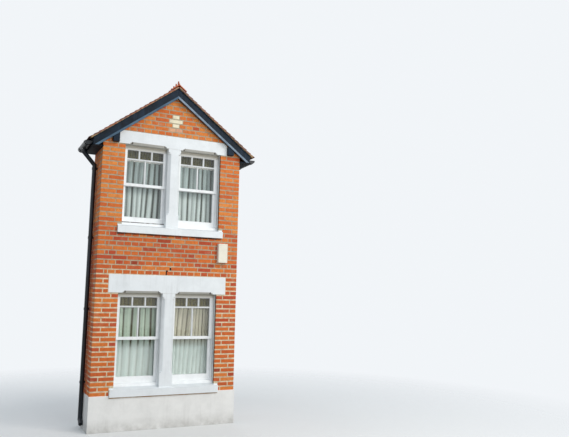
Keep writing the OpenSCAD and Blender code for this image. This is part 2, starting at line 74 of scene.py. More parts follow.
# Plan, taken from the frame
FRONT_Y = LOW["spandrel_wall"].y
INNER_Y = HIGH["spandrel_wall"].y
BACK_Y = HIGH["left_wall"].y
HALF_W = HIGH["right_wall"].x
OPEN_X = LOW["right_pier"].x
FRAME_Y = LOW["lower_frames"].y

# Levels, taken from the frame: the spandrel's first course lies on the lintel's bed, and its last ends in the sill
LINTEL_BED = 0.010
SILL_LAP = 0.023
PLINTH_TOP = LOW["right_wall"].z
WALL_TOP = HIGH["right_wall"].z
SPANDREL_Z = HIGH["lower_lintel"].z + LINTEL_BED
UPPER_SILL_LINE = LOW["upper_sill"].z + SILL_LAP

# Roof lines: heights at the middle, and the fall for each metre away from it
TILE_TOP = HIGH["left_tiles"].z
BOARDS_TOP = HIGH["roof_boards"].z
EAVES_X = HIGH["right_tiles"].x
VERGE_Y = LOW["left_tiles"].y
SLOPE = (BOARDS_TOP - LOW["right_tiles"].z) / EAVES_X
PITCH = math.atan(SLOPE)
RAFTER_TOP = HIGH["gable_wall"].z
BARGE_FRONT = LOW["barge_blocks"].y
EAVES = np.array([EAVES_X, 0, BOARDS_TOP - SLOPE * EAVES_X])

# Length of a slope from its eaves to the ridge, and thickness of the tiles on it
REACH = EAVES_X / math.cos(PITCH)
COVER = (TILE_TOP - BOARDS_TOP) * math.cos(PITCH)


def paint(code):
    """Scene-linear colour of a six-digit colour code, as a tuple of red, green and blue."""
    values = [int(code[i:i + 2], 16) / 255 for i in (0, 2, 4)]
    return tuple(v / 12.92 if v <= 0.04045 else ((v + 0.055) / 1.055) ** 2.4 for v in values)


def darker(shade, share):
    """A colour with each of its parts multiplied by a share."""
    return tuple(value * share for value in shade)


def length(name, default, about):
    """A property that holds a length in metres."""
    return bpy.props.FloatProperty(name=name, default=default, min=0, unit="LENGTH", description=about)


def colour(name, code, about):
    """A property that holds a colour."""
    return bpy.props.FloatVectorProperty(name=name, default=paint(code), size=3, min=0, max=1, subtype="COLOR",
                                         description=about)


class BrickSettings(bpy.types.PropertyGroup):
    """Sizes and colours of the bricks and their mortar."""
    stretcher: length("Stretcher", 0.2245, "Long face of a brick")
    header: length("Header", 0.106, "End face of a brick")
    course: length("Course", 0.0755, "Height of a brick with its bed joint")
    joint: length("Joint", 0.0125, "Width of the upright mortar joints")
    bed: length("Bed joint", 0.018, "Height of the mortar beds")
    wide: length("Wide pointing", 0.0035, "How much wider the joints of the lower walls are pointed")
    proud: length("Proud", 0.0022, "How far brick faces stand out from the mortar")
    rounding: length("Rounding", 0.0024, "Rounding of the arrises")
    unevenness: length("Unevenness", 0.0009, "How far faces and places stray")
    dark: colour("Dark brick", "8E3A22", "Hardest burnt bricks")
    red: colour("Red brick", "BE5130", "Red bricks")
    orange: colour("Orange brick", "D87131", "Orange bricks")
    pale: colour("Pale brick", "E58D44", "Softest bricks")
    cream: colour("Cream brick", "EFE6C8", "Bricks of the cross in the gable")
    mortar: colour("Mortar", "B5A98F", "Lime mortar of the upper walls")
    pointing: colour("Pointing", "E4D3B2", "Paler mortar of the lower walls")
    crack: colour("Crack", "2A1C14", "Open joints of the crack over the lower lintel")
    # Colour of the painted shadow line under the upper sill, and of the darkened unpainted edges of the openings
    sill_shadow_and_edge_dark: colour("Soot", "3B2A20", "Dirt under the upper sill and on the openings' edges")
    # Height of the painted shadow line under the upper sill
    sill_shadow_height: length("Soot line", 0.026, "Height of the dirty line under the upper sill")
    edge: length("Bare edge", 0.052, "Depth of unpainted brick in front of the painted reveals")


class StoneSettings(bpy.types.PropertyGroup):
    """Colours of the painted stone and render, and the painted shadow and dirt in the steps at the chamfers' ends."""
    white: colour("Masonry paint", "EBEFF0", "Paint of lintels, mullions and sills")
    plinth: colour("Plinth paint", "F1F0EC", "Paint of the rendered plinth")
    # Colour of the painted shadow line under the lower sill
    lower_sill_shadow: colour("Stain", "A07A48", "Line of damp under the lower sill")
    grime: colour("Grime", "7C776A", "Dirt in streaks and under edges")
    # Colour of the painted shade on faces that look down and on the window heads under the lintels
    underside_shade: colour("Soffit", "AFA894", "Yellowed paint that faces down and under the lintels")
    # Colour of the painted shadow and dirt in the steps at the chamfers' ends
    notch: colour("Notch dirt", "66625A", "Dirt in the steps at the chamfers' ends")
    reveal: length("Reveal coat", 0.004, "Thickness of the coat on the window reveals")
    stop: length("Notch width", 0.030, "Width of the dirty step at a chamfer's end")
    stop_high: length("Notch height", 0.040, "Height of the dirty step above the lintel's foot")
    stop_in: length("Inner notch", 0.058, "Distance of the inner steps from the mullion")
    stop_out: length("Outer notch", 0.106, "Distance of the outer steps from the brick")


class JoinerySettings(bpy.types.PropertyGroup):
    """Sizes and colours of the windows' fine joinery."""
    bar: length("Glazing bar", 0.026, "Face width of a glazing bar")
    bar_nose: length("Bar nose", 0.012, "Width of a bar's outer face between the putty bevels")
    putty: length("Putty", 0.004, "Width of the putty bevels round the panes")
    stile: length("Stile", 0.045, "Face width of sash stiles and top rails")
    small_pane: length("Small panes", 0.155, "Height of the small top panes with their bar")
    gloss: colour("Gloss paint", "F7F9F9", "Paint of the frames and sashes")
    glass: colour("Glass", "F6F8F7", "Tint of the panes")


class ClothSettings(bpy.types.PropertyGroup):
    """Folds and colours of the curtains."""
    lower_folds: bpy.props.IntProperty(name="Lower folds", default=7, min=3,
                                       description="Folds across one curtain downstairs")
    upper_folds: bpy.props.IntProperty(name="Upper folds", default=9, min=3,
                                       description="Folds across one curtain upstairs")
    depth: length("Fold depth", 0.019, "Half the depth of a fold")
    lower_net: colour("Lower net", "E0EEEC", "Net curtains downstairs")
    # Painted shade in the gaps between the folds downstairs
    lower_gap: colour("Lower gaps", "4A4424", "Gaps between the folds downstairs")
    upper_net: colour("Upper net", "CFDCDC", "Net curtains upstairs")
    # Painted shade in the gaps between the folds upstairs
    upper_gap: colour("Upper gaps", "3E463F", "Gaps between the folds upstairs")
    # Net colours above the meeting rails: painted reflection in the outer sashes
    upper_high: colour("Upper high net", "A3B4B5", "Net curtains upstairs behind the outer sashes")
    reflected_left_net: colour("Left sunned net", "BDD0BC", "Left net curtains behind the outer sashes")
    reflected_right_net: colour("Right sunned net", "CFC8B2", "Right net curtains behind the outer sashes")
    # The valances are dark sheets that stand for the shade and reflection behind the small top panes; their shade
    # colours are painted shade in the hollows
    lower_olive: colour("Lower valance", "7F784A", "Cloth behind the small top panes of the lower windows")
    lower_olive_dark: colour("Lower valance shade", "403B20", "Hollows of the lower valance")
    upper_olive: colour("Upper valance", "5F5C2E", "Cloth behind the small top panes of the upper windows")
    upper_olive_dark: colour("Upper valance shade", "292911", "Hollows of the upper valance")


class RoofSettings(bpy.types.PropertyGroup):
    """Sizes and colours of the roof covering."""
    tile_width: length("Tile width", 0.165, "Width of a plain tile")
    tile_length: length("Tile length", 0.205, "Length of a tile as far as it shows or lies under two others")
    gauge: length("Gauge", 0.098, "Height of tile that each course shows")
    thickness: length("Thickness", 0.011, "Thickness of a tile")
    camber: length("Camber", 0.004, "How much a tile is curved across")
    brown: colour("Brown tile", "74504A", "Weathered tiles")
    pink: colour("Pink tile", "A77E73", "Faded tiles")
    orange: colour("Orange tile", "B0694A", "Newer tiles")
    ridge: colour("Ridge clay", "C4633A", "Ridge tiles and verge tiles")
    bedding: colour("Bedding", "C9AE84", "Mortar under the verge tiles")


class TrimSettings(bpy.types.PropertyGroup):
    """Colours of the painted boards, gutters, box and inside."""
    board: colour("Board paint", "0E1822", "Paint of the barge boards and eaves")
    moulding: colour("Moulding paint", "577084", "Faded paint of the left lower moulding")
    # The right lower moulding is painted paler than the left: a painted highlight where light falls on it
    moulding_right_highlight: colour("Right moulding paint", "8C9CAB", "More faded paint of the right lower moulding")
    iron: colour("Iron paint", "101419", "Paint of gutters and rain pipe")
    box: colour("Alarm box", "EFEADA", "Moulded cover of the alarm box")
    plaster: colour("Plaster", "E6DFD0", "Wall paint inside")
    timber: colour("Sawn timber", "B08A5C", "Joists, rafters and boards")
    floor: colour("Floor boards", "9C6B40", "Planed floor boards")
    rod: colour("Curtain rods", "E4E2DA", "Enamel of the rods")


class StageSettings(bpy.types.PropertyGroup):
    """Camera and floor."""
    eye: bpy.props.FloatVectorProperty(name="Eye", default=(-2.950, -10.363, 2.093), subtype="XYZ",
                                       description="Place of the camera")
    turn: bpy.props.FloatProperty(name="Turn", default=math.radians(26.60), subtype="ANGLE",
                                  description="Turn of the view to the right of +Y")
    tilt: bpy.props.FloatProperty(name="Tilt", default=math.radians(7.26), subtype="ANGLE",
                                  description="Tilt of the view above level")
    roll: bpy.props.FloatProperty(name="Roll", default=math.radians(1.06), subtype="ANGLE",
                                  description="Roll of the camera, its right side up")
    lens: bpy.props.FloatProperty(name="Lens", default=39.54, min=1, description="Focal length on a 36 mm sensor")
    floor: colour("Floor", "E6E6E3", "Floor of the stage as the camera sees it")
    ground: colour("Ground", "8A8883", "Floor of the stage as it lights the part from below")


def settings(name):
    """The settings group of that name on the scene."""
    return getattr(bpy.context.scene, "bay_" + name)


# Meshes

def chance(number):
    """Random numbers that come out the same at each run."""
    return np.random.default_rng(number)


def unit(vectors):
    """Each vector divided by its length."""
    return vectors / np.linalg.norm(vectors, axis=-1, keepdims=True)


def shown(name, mesh, material, sharp=35):
    """Links a mesh as a piece that rides on the part, smooth but for edges sharper than the given angle."""
    mesh.shade_smooth()
    mesh.set_sharp_from_angle(angle=math.radians(sharp))
    mesh.materials.append(material)
    piece = bpy.data.objects.new(name, mesh)
    bpy.context.scene.collection.objects.link(piece)
    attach(piece, "root")
    return piece


def filled(name, points, starts, corners):
    """A mesh from its points, the place of each face's first corner and the corners of all faces."""
    mesh = bpy.data.meshes.new(name)
    mesh.vertices.add(len(points))
    mesh.vertices.foreach_set("co", points.astype(np.float32).ravel())
    mesh.loops.add(len(corners))
    mesh.loops.foreach_set("vertex_index", corners.astype(np.int32))
    mesh.polygons.add(len(starts))
    mesh.polygons.foreach_set("loop_start", starts.astype(np.int32))
    mesh.update(calc_edges=True)
    return mesh


def tubes(name, points, tones=None):
    """A mesh of many closed tubes, from an array of tubes x rings x ring points x 3.

    Quad (j, i) joins points i and i + 1 of rings j and j + 1, with the last point of a ring next to its first, and
    a flat cap closes each end. A tube whose side quads face its own centre has its rings turned round. Each tube's
    row of tones is kept at its points in the attribute tone.
    """
    count, rings, ring, _ = points.shape
    middle = points.mean(axis=(1, 2), keepdims=True)
    a, b = points - middle, np.roll(points, -1, axis=2) - middle
    outward = np.einsum("njik,njik->n", a[:, :-1], np.cross(b[:, :-1], b[:, 1:]))
    outward += np.einsum("njik,njik->n", a[:, :-1], np.cross(b[:, 1:], a[:, 1:]))
    points = np.where((outward < 0)[:, None, None, None], points[:, :, ::-1], points)

    j, i = np.meshgrid(np.arange(rings - 1) * ring, np.arange(ring), indexing="ij")
    after = (i + 1) % ring
    quads = np.stack([j + i, j + after, j + ring + after, j + ring + i], -1).reshape(-1)
    caps = np.concatenate([np.arange(ring)[::-1], (rings - 1) * ring + np.arange(ring)])
    corners = np.concatenate([quads, caps])[None] + (np.arange(count) * rings * ring)[:, None]
    starts = np.concatenate([np.arange(0, len(quads), 4), len(quads) + np.array([0, ring])])
    starts = starts[None] + (np.arange(count) * (len(quads) + len(caps)))[:, None]
    mesh = filled(name, points.reshape(-1, 3), starts.ravel(), corners.ravel())
    if tones is not None:
        attribute = mesh.attributes.new("tone", "FLOAT_VECTOR", "POINT")
        attribute.data.foreach_set("vector", np.repeat(tones, rings * ring, axis=0).astype(np.float32).ravel())
    return mesh


def rounded_ring(across, up, corner_points=3, side_points=3):
    """Shares and outward directions of a rounded rectangle's points, anticlockwise from its lower right corner.

    Each corner turns a quarter circle in equal steps, and each side has evenly spaced points between its corners.
    """
    shares, outward = [], []
    for side in range(4):
        angle = math.radians(90 * side - 90)
        turn = angle + np.linspace(0, math.pi / 2, corner_points)
        corner = np.array([[1, -1], [1, 1], [-1, 1], [-1, -1]][side], float)
        following = np.array([[1, 1], [-1, 1], [-1, -1], [1, -1]][side], float)
        along = np.linspace(0, 1, side_points + 2)[1:-1, None]
        shares.append(np.repeat(corner[None], corner_points, axis=0))
        shares.append(corner + (following - corner) * along)
        outward.append(np.stack([np.cos(turn), np.sin(turn)], -1))
        outward.append(np.repeat([[math.cos(turn[-1]), math.sin(turn[-1])]], side_points, axis=0))
    return np.concatenate(shares) * [across, up], np.concatenate(outward)


def block_points(corner, across, deep, along, rounding, rows=6, side_points=3, relief=0.0, seed=1):
    """Points of many rounded blocks, as tubes carried from end to end.

    Block n fills corner + u across + v deep + w along, for u, v and w from 0 to 1. Its ring is a rounded rectangle
    in across and deep. The rings stand at w = 0, at the rounding from each end and evenly between, and the end
    rings are drawn in by the rounding. Relief moves each point in or out by a smooth wave and a small chance.
    """
    corner, across, deep, along = (np.asarray(v, float) for v in (corner, across, deep, along))
    half = [np.linalg.norm(v, axis=-1)[:, None, None] / 2 for v in (across, deep, along)]
    shares, outward = rounded_ring(1, 1, side_points=side_points)
    level = np.concatenate([[-1], np.linspace(-1, 1, rows - 2), [1]])[None, :, None]
    drawn = np.concatenate([[0], np.ones(rows - 2), [0]])[None, :, None]
    r = np.minimum(rounding, np.minimum(half[0], half[1]) * 0.9)
    place = level * (half[2] - np.where(drawn > 0, r, 0))
    draw = chance(seed)
    count, size = len(corner), (len(corner), rows, len(shares))
    wave = np.sin(shares[:, 0] * 2.1 + shares[:, 1] * 1.3 + draw.uniform(0, 6.28, (count, 1, 1)) + level * 1.7)
    move = drawn * relief * (0.6 * wave + 0.4 * draw.normal(0, 1, size))
    x = shares[:, 0] * (half[0] - r) + (drawn * r + move) * outward[:, 0]
    y = shares[:, 1] * (half[1] - r) + (drawn * r + move) * outward[:, 1]
    middle = (corner + (across + deep + along) / 2)[:, None, None]
    axes = [unit(v)[:, None, None] for v in (across, deep, along)]
    return middle + x[..., None] * axes[0] + y[..., None] * axes[1] + (place + 0 * x)[..., None] * axes[2]


# Shader groups and materials

def new_group(name, inputs, outputs):
    """An empty shader group with its sockets: (name, kind, default) of each input, (name, kind) of each output."""
    group = bpy.data.node_groups.new(name, "ShaderNodeTree")
    for socket, kind, default in inputs:
        made = group.interface.new_socket(socket, in_out="INPUT", socket_type="NodeSocket" + kind)
        made.default_value = default
    for socket, kind in outputs:
        group.interface.new_socket(socket, in_out="OUTPUT", socket_type="NodeSocket" + kind)
    return group, group.nodes.new("NodeGroupInput").outputs, group.nodes.new("NodeGroupOutput").inputs


def add(tree, kind, inputs=(), **choices):
    """A node of that kind. Inputs are (socket name or number, value or the output that feeds it)."""
    node = tree.nodes.new("ShaderNode" + kind)
    for key, value in choices.items():
        setattr(node, key, value)
    for key, value in dict(inputs).items():
        if isinstance(value, bpy.types.NodeSocket):
            tree.links.new(value, node.inputs[key])
        else:
            node.inputs[key].default_value = value
    return node


def figure(tree, operation, a, b=0.0, clamp=False):
    """The result of a sum on two numbers."""
    return add(tree, "Math", {0: a, 1: b}, operation=operation, use_clamp=clamp).outputs[0]


def product(tree, *values):
    """The product of numbers and outputs."""
    made = values[0]
    for value in values[1:]:
        made = figure(tree, "MULTIPLY", made, value)
    return made


def mixed(tree, share, a, b, blend="MIX"):
    """Colour a, mixed with as much of colour b as the share says."""
    pair = {key: v if isinstance(v, bpy.types.NodeSocket) else (*v, 1.0) for key, v in ((6, a), (7, b))}
    return add(tree, "Mix", {0: share, **pair}, data_type="RGBA", blend_type=blend).outputs[2]


def spread(tree, value, low, high, to_low=0.0, to_high=1.0):
    """A value carried from one range to another and kept within it."""
    return add(tree, "MapRange", {0: value, 1: low, 2: high, 3: to_low, 4: to_high}).outputs[0]


def noise(tree, vector, scale, detail=4.0, roughness=0.55):
    """Smooth noise between 0 and 1."""
    given = {"Vector": vector, "Scale": scale, "Detail": detail, "Roughness": roughness}
    return add(tree, "TexNoise", given).outputs[0]


def stretched(tree, vector, scale):
    """A vector with each of its parts multiplied."""
    return add(tree, "Mapping", {"Vector": vector, "Scale": scale}).outputs[0]


def bumped(tree, height):
    """The normal of a surface that is raised by a height in metres."""
    return add(tree, "Bump", {"Strength": 1.0, "Distance": 1.0, "Height": height}).outputs[0]


def inside(tree, x, z, rectangle):
    """A mask that is 1 inside a rectangle (low x, high x, low z, high z) and 0 outside it."""
    low_x, high_x, low_z, high_z = rectangle
    return product(tree, figure(tree, "GREATER_THAN", x, low_x), figure(tree, "LESS_THAN", x, high_x),
                   figure(tree, "GREATER_THAN", z, low_z), figure(tree, "LESS_THAN", z, high_z))


def make_mottle():
    """Group: a colour drifts towards a second one in cloudy patches and is speckled finely."""
    group, given, made = new_group(
        "Cloudy mottle",
        [("Vector", "Vector", (0, 0, 0)), ("Colour", "Color", (0.5, 0.5, 0.5, 1)),
         ("Patches", "Color", (0.4, 0.4, 0.4, 1)), ("Scale", "Float", 6.0), ("Amount", "Float", 0.5),
         ("Speckle", "Float", 0.1)],
        [("Colour", "Color")])
    cloud = spread(group, noise(group, given["Vector"], given["Scale"], 5.0, 0.6), 0.38, 0.68)
    share = figure(group, "MULTIPLY", cloud, given["Amount"], clamp=True)
    base = mixed(group, share, given["Colour"], given["Patches"])
    fine = noise(group, given["Vector"], figure(group, "MULTIPLY", given["Scale"], 40.0), 2.0)
    low = figure(group, "SUBTRACT", 1.0, given["Speckle"])
    high = figure(group, "ADD", 1.0, given["Speckle"])
    grey = spread(group, fine, 0.3, 0.7, low, high)
    shade = add(group, "CombineColor", {0: grey, 1: grey, 2: grey}).outputs[0]
    group.links.new(mixed(group, 1.0, base, shade, "MULTIPLY"), made["Colour"])
    return group


def make_relief():
    """Group: a normal from coarse and fine noise of given sizes and depths."""
    group, given, made = new_group(
        "Surface relief",
        [("Vector", "Vector", (0, 0, 0)), ("Coarse scale", "Float", 30.0), ("Fine scale", "Float", 400.0),
         ("Coarse depth", "Float", 0.001), ("Fine depth", "Float", 0.0003)],
        [("Normal", "Vector")])
    coarse = product(group, noise(group, given["Vector"], given["Coarse scale"]), given["Coarse depth"])
    fine = product(group, noise(group, given["Vector"], given["Fine scale"], 2.0), given["Fine depth"])
    group.links.new(bumped(group, figure(group, "ADD", coarse, fine)), made["Normal"])
    return group


def make_streaks():
    """Group: dirt that runs down a wall in streaks, thicker in some places than in others."""
    group, given, made = new_group(
        "Rain streaks",
        [("Vector", "Vector", (0, 0, 0)), ("Colour", "Color", (0.8, 0.8, 0.8, 1)),
         ("Dirt", "Color", (0.3, 0.3, 0.25, 1)), ("Amount", "Float", 0.4)],
        [("Colour", "Color")])
    runs = noise(group, stretched(group, given["Vector"], (22, 22, 1.6)), 1.0, 4.0, 0.65)
    where = noise(group, given["Vector"], 2.3, 3.0)
    mask = product(group, spread(group, runs, 0.5, 0.78), spread(group, where, 0.42, 0.66))
    share = figure(group, "MULTIPLY", mask, given["Amount"], clamp=True)
    group.links.new(mixed(group, share, given["Colour"], given["Dirt"]), made["Colour"])
    return group


def make_grain():
    """Group: wood grain along one axis, from noise stretched along the boards, as a mask and a normal."""
    group, given, made = new_group(
        "Wood grain",
        [("Vector", "Vector", (0, 0, 0)), ("Stretch", "Vector", (2.0, 40.0, 40.0)), ("Depth", "Float", 0.0004)],
        [("Mask", "Float"), ("Normal", "Vector")])
    scaled = add(group, "VectorMath", {0: given["Vector"], 1: given["Stretch"]}, operation="MULTIPLY").outputs[0]
    rings = noise(group, scaled, 1.0, 5.0, 0.62)
    group.links.new(spread(group, rings, 0.3, 0.7), made["Mask"])
    group.links.new(bumped(group, product(group, rings, given["Depth"])), made["Normal"])
    return group


def make_weave():
    """Group: plain weave of threads across the cloth's own map, as a mask and a normal."""
    group, given, made = new_group(
        "Plain weave", [("Vector", "Vector", (0, 0, 0)), ("Threads", "Float", 900.0), ("Depth", "Float", 0.0002)],
        [("Mask", "Float"), ("Normal", "Vector")])
    split = add(group, "SeparateXYZ", {0: given["Vector"]}).outputs
    waves = [figure(group, "SINE", product(group, part, given["Threads"])) for part in split[:2]]
    mask = spread(group, product(group, *waves), -1.0, 1.0)
    group.links.new(mask, made["Mask"])
    group.links.new(bumped(group, product(group, mask, given["Depth"])), made["Normal"])
    return group


GROUP_MAKERS = {"Cloudy mottle": make_mottle, "Surface relief": make_relief, "Rain streaks": make_streaks,
                "Wood grain": make_grain, "Plain weave": make_weave}


class Finish:
    """A material in the making, with its tree, its shader and the object's own coordinates."""

    def __init__(self, name, **constants):
        self.material = bpy.data.materials.new(name)
        self.material.use_nodes = True
        self.tree = self.material.node_tree
        self.shader = self.tree.nodes["Principled BSDF"]
        self.place = self.tree.nodes.new("ShaderNodeTexCoord").outputs["Object"]
        for key, value in constants.items():
            self.shader.inputs[key.replace("_", " ")].default_value = value

    def feed(self, **outputs):
        """Links outputs to the shader's sockets of those names."""
        for key, output in outputs.items():
            self.tree.links.new(output, self.shader.inputs[key.replace("_", " ")])

    def use(self, group, **inputs):
        """Places a shader group with its values, and returns its outputs."""
        tree = bpy.data.node_groups.get(group) or GROUP_MAKERS[group]()
        node = add(self.tree, "Group", node_tree=tree)
        for key, value in {"Vector": self.place, **inputs}.items():
            socket = node.inputs[key.replace("_", " ")]
            if isinstance(value, bpy.types.NodeSocket):
                self.tree.links.new(value, socket)
            else:
                socket.default_value = (*value, 1.0) if socket.type == "RGBA" else value
        return node.outputs

    def mottled(self, shade, patches, scale, amount, speckle):
        """A colour in cloudy patches with a second one, and finely speckled."""
        return self.use("Cloudy mottle", Colour=shade, Patches=patches, Scale=scale, Amount=amount,
                        Speckle=speckle)["Colour"]

    def streaked(self, shade, dirt, amount):
        """A colour under dirt that runs down in streaks."""
        return self.use("Rain streaks", Colour=shade, Dirt=dirt, Amount=amount)["Colour"]

    def relief(self, coarse, fine):
        """A normal roughened by coarse and by fine noise, each given as its scale and its depth in metres."""
        return self.use("Surface relief", Coarse_scale=coarse[0], Fine_scale=fine[0], Coarse_depth=coarse[1],
                        Fine_depth=fine[1])["Normal"]

    def within(self, rectangle):
        """A mask of a rectangle in the plane of the front: low x, high x, low z and high z."""
        return inside(self.tree, self.part(0), self.part(2), rectangle)

    def part(self, number):
        """One part of the object's coordinates: 0 for x, 1 for y, 2 for z."""
        return add(self.tree, "SeparateXYZ", {0: self.place}).outputs[number]

    def upward(self):
        """How far each face looks up: 1 for a level top, 0 for a wall and -1 for an underside."""
        return add(self.tree, "SeparateXYZ", {0: add(self.tree, "NewGeometry").outputs["Normal"]}).outputs[2]

    def under(self):
        """A mask of the faces that look down, where painted shade goes."""
        return spread(self.tree, self.upward(), -0.2, -0.6)

    def tones(self):
        """The three numbers that the mesh keeps for each tube."""
        read = add(self.tree, "Attribute", attribute_name="tone", attribute_type="GEOMETRY").outputs["Vector"]
        return add(self.tree, "SeparateXYZ", {0: read}).outputs


def ramp(tree, value, *stops):
    """Colours that follow one another as the value grows: (place, colour) of each stop."""
    node = add(tree, "ValToRGB", {0: value})
    elements = node.color_ramp.elements
    for place, shade in stops[2:]:
        elements.new(place)
    for element, (place, shade) in zip(elements, stops):
        element.position = place
        element.color = (*shade, 1.0)
    return node.outputs[0]


# The unpainted edges of the openings: how far bricks stray into them, how far behind the front face they start, and how
# much they are darkened
REVEAL_GRACE = 0.0012
ARRIS = 0.001
EDGE_DARKENING = 0.72


def sill_shadow_and_dark_edges(made, colour):
    """A wall colour with a painted shadow line under the upper sill, and darkened on the unpainted edges of the window
    openings.
    """
    s, tree, sill = settings("brick"), made.tree, LOW["upper_sill"]
    patches = spread(tree, noise(tree, made.place, 6.0), 0.3, 0.6, 0.35)
    # Painted shadow line under the upper sill, and darker unpainted edges of the openings
    line = made.within((sill.x, -sill.x, sill.z - s.sill_shadow_height, sill.z + s.sill_shadow_height))
    beside = figure(tree, "LESS_THAN", figure(tree, "ABSOLUTE", made.part(0)), OPEN_X + REVEAL_GRACE)
    behind = figure(tree, "GREATER_THAN", made.part(1), FRONT_Y + ARRIS)
    share = figure(tree, "MAXIMUM", product(tree, line, patches), product(tree, beside, behind, EDGE_DARKENING))
    return mixed(tree, share, colour, s.sill_shadow_and_edge_dark)


def brick_finish():
    """Fired clay: a colour of its own for each brick, patches and pits."""
    s = settings("brick")
    made = Finish("fired_brick", Roughness=0.88)
    tone, cream, _ = made.tones()
    fired = ramp(made.tree, tone, (0.0, s.dark), (0.3, s.red), (0.68, s.orange), (1.0, s.pale))
    base = mixed(made.tree, cream, fired, s.cream)
    patchy = made.mottled(base, s.dark, scale=26.0, amount=0.32, speckle=0.14)
    kept = mixed(made.tree, cream, patchy, base)
    bloom = spread(made.tree, noise(made.tree, made.place, 9.0, 5.0), 0.56, 0.74, to_high=0.3)
    limed = mixed(made.tree, bloom, kept, s.mortar)
    # The bricks get a painted shadow under the upper sill and darker opening edges
    made.feed(Base_Color=sill_shadow_and_dark_edges(made, limed), Normal=made.relief(coarse=(60.0, 0.0016), fine=(520.0, 0.0006)))
    return made.material


def mortar_finish():
    """Lime mortar, and on the walls' plain ends the cut bricks of each course."""
    s = settings("brick")
    made = Finish("lime_mortar", Roughness=0.94)
    tree = made.tree
    upper = spread(tree, made.part(2), SPANDREL_Z - 0.05, SPANDREL_Z + 0.25)
    lime = mixed(tree, upper, s.pointing, s.mortar)
    mortar = made.mottled(lime, paint("857760"), scale=14.0, amount=0.6, speckle=0.16)
    run = figure(tree, "ADD", made.part(0), made.part(1))
    height = figure(tree, "SUBTRACT", made.part(2), PLINTH_TOP)
    wall = add(tree, "CombineXYZ", {0: run, 1: height}).outputs[0]
    bond = add(tree, "TexBrick", {
        "Vector": wall, "Scale": 1.0, "Mortar Size": s.joint / 2, "Mortar Smooth": 0.1, "Bias": 0.0,
        "Brick Width": s.stretcher + s.joint, "Row Height": s.course, "Color1": (*s.red, 1), "Color2": (*s.orange, 1),
        "Mortar": (0, 0, 0, 1)}, offset=0.5, squash=0.5, squash_frequency=2)
    back = figure(tree, "GREATER_THAN", made.part(1), INNER_Y - 0.002)
    brick = product(tree, back, figure(tree, "SUBTRACT", 1.0, bond.outputs["Fac"]))
    face = made.mottled(bond.outputs["Color"], s.dark, scale=18.0, amount=0.5, speckle=0.12)
    built = mixed(tree, brick, mortar, face)
    for rectangle in (*CRACK, CRACK_BED):
        built = mixed(tree, made.within(rectangle), built, s.crack)
    # The mortar gets a painted shadow under the upper sill and darker opening edges
    made.feed(Base_Color=sill_shadow_and_dark_edges(made, built), Normal=made.relief(coarse=(120.0, 0.0016), fine=(900.0, 0.0008)))
    return made.material


def masonry_paint(name, shade, rain, marks):
    """White paint on stone or render, chalky, streaked by rain and with painted shade on faces that look down, with
    marks of its own.
    """
    s = settings("stone")
    made = Finish(name, Roughness=0.62)
    base = made.mottled(shade, darker(shade, 0.84), scale=5.0, amount=0.5, speckle=0.02)
    rained = made.streaked(base, s.grime, rain)
    # Painted shade on faces that look down
    shaded_under = mixed(made.tree, product(made.tree, made.under(), 0.6), rained, s.underside_shade)
    made.feed(Base_Color=marks(made, shaded_under, s), Normal=made.relief(coarse=(24.0, 0.0012), fine=(260.0, 0.0005)))
    return made.material


def shadowed_notches(made, colour, s):
    """A stone colour with painted shadow and dirt in the steps at the ends of the lintels' chamfers."""
    away, arris = figure(made.tree, "ABSOLUTE", made.part(0)), 0.004
    for node in ("lower_lintel", "upper_lintel"):
        foot = LOW[node].z
        for x in (HIGH["lower_mullion"].x + s.stop_in, OPEN_X - s.stop_out):
            step = (x - s.stop / 2, x + s.stop / 2, foot + arris, foot + s.stop_high)
            notch = inside(made.tree, away, made.part(2), step)
            # Painted shadow and dirt in each step
            colour = mixed(made.tree, product(made.tree, notch, made.under()), colour, s.notch)
    return colour


def splashed(made, colour, s):
    """A render colour with dirt that splashes up from the ground, and a brown painted shadow line under the lower sill.
    """
    tree, sill, reach, half = made.tree, LOW["lower_sill"], 0.20, 0.02
    splash = spread(tree, made.part(2), reach, 0.0, to_high=0.55)
    worn = product(tree, splash, spread(tree, noise(tree, made.place, 7.0), 0.3, 0.7))
    dirty = mixed(tree, worn, colour, s.grime)
    # Painted shadow line under the lower sill
    line = made.within((sill.x, -sill.x, sill.z - half, sill.z + half))
    painted_shadow = product(tree, line, spread(tree, noise(tree, made.place, 5.0), 0.2, 0.55, 0.3))
    return mixed(tree, painted_shadow, dirty, s.lower_sill_shadow)


def gloss_paint(name, shade, roughness=0.32, second=None, dust=0.15, finish=None):
    """Brushed oil paint on wood, with faint brush marks and some dust. A finish may dirty the colour further."""
    made = Finish(name, Roughness=roughness)
    base = made.mottled(shade, second or darker(shade, 0.82), scale=7.0, amount=0.5, speckle=dust * 0.3)
    dusty = made.streaked(base, paint("6E6A5E"), dust)
    if finish:
        dusty = finish(made, dusty)
    made.feed(Base_Color=dusty, Normal=made.relief(coarse=(40.0, 0.0005), fine=(700.0, 0.0001)))
    return made.material


def timber_finish(name, shade, stretch, roughness=0.75):
    """Softwood with its grain along the piece."""
    made = Finish(name, Roughness=roughness)
    grain = made.use("Wood grain", Stretch=stretch, Depth=0.0012)
    wood = mixed(made.tree, grain["Mask"], darker(shade, 0.62), shade)
    knots = made.mottled(wood, darker(shade, 0.5), scale=4.0, amount=0.35, speckle=0.05)
    made.feed(Base_Color=knots, Normal=grain["Normal"])
    return made.material


def sash_middle(storey):
    """Height where the two sashes of a storey's windows meet."""
    return (LOW[storey + "_sashes"].z + HIGH[storey + "_sashes"].z) / 2


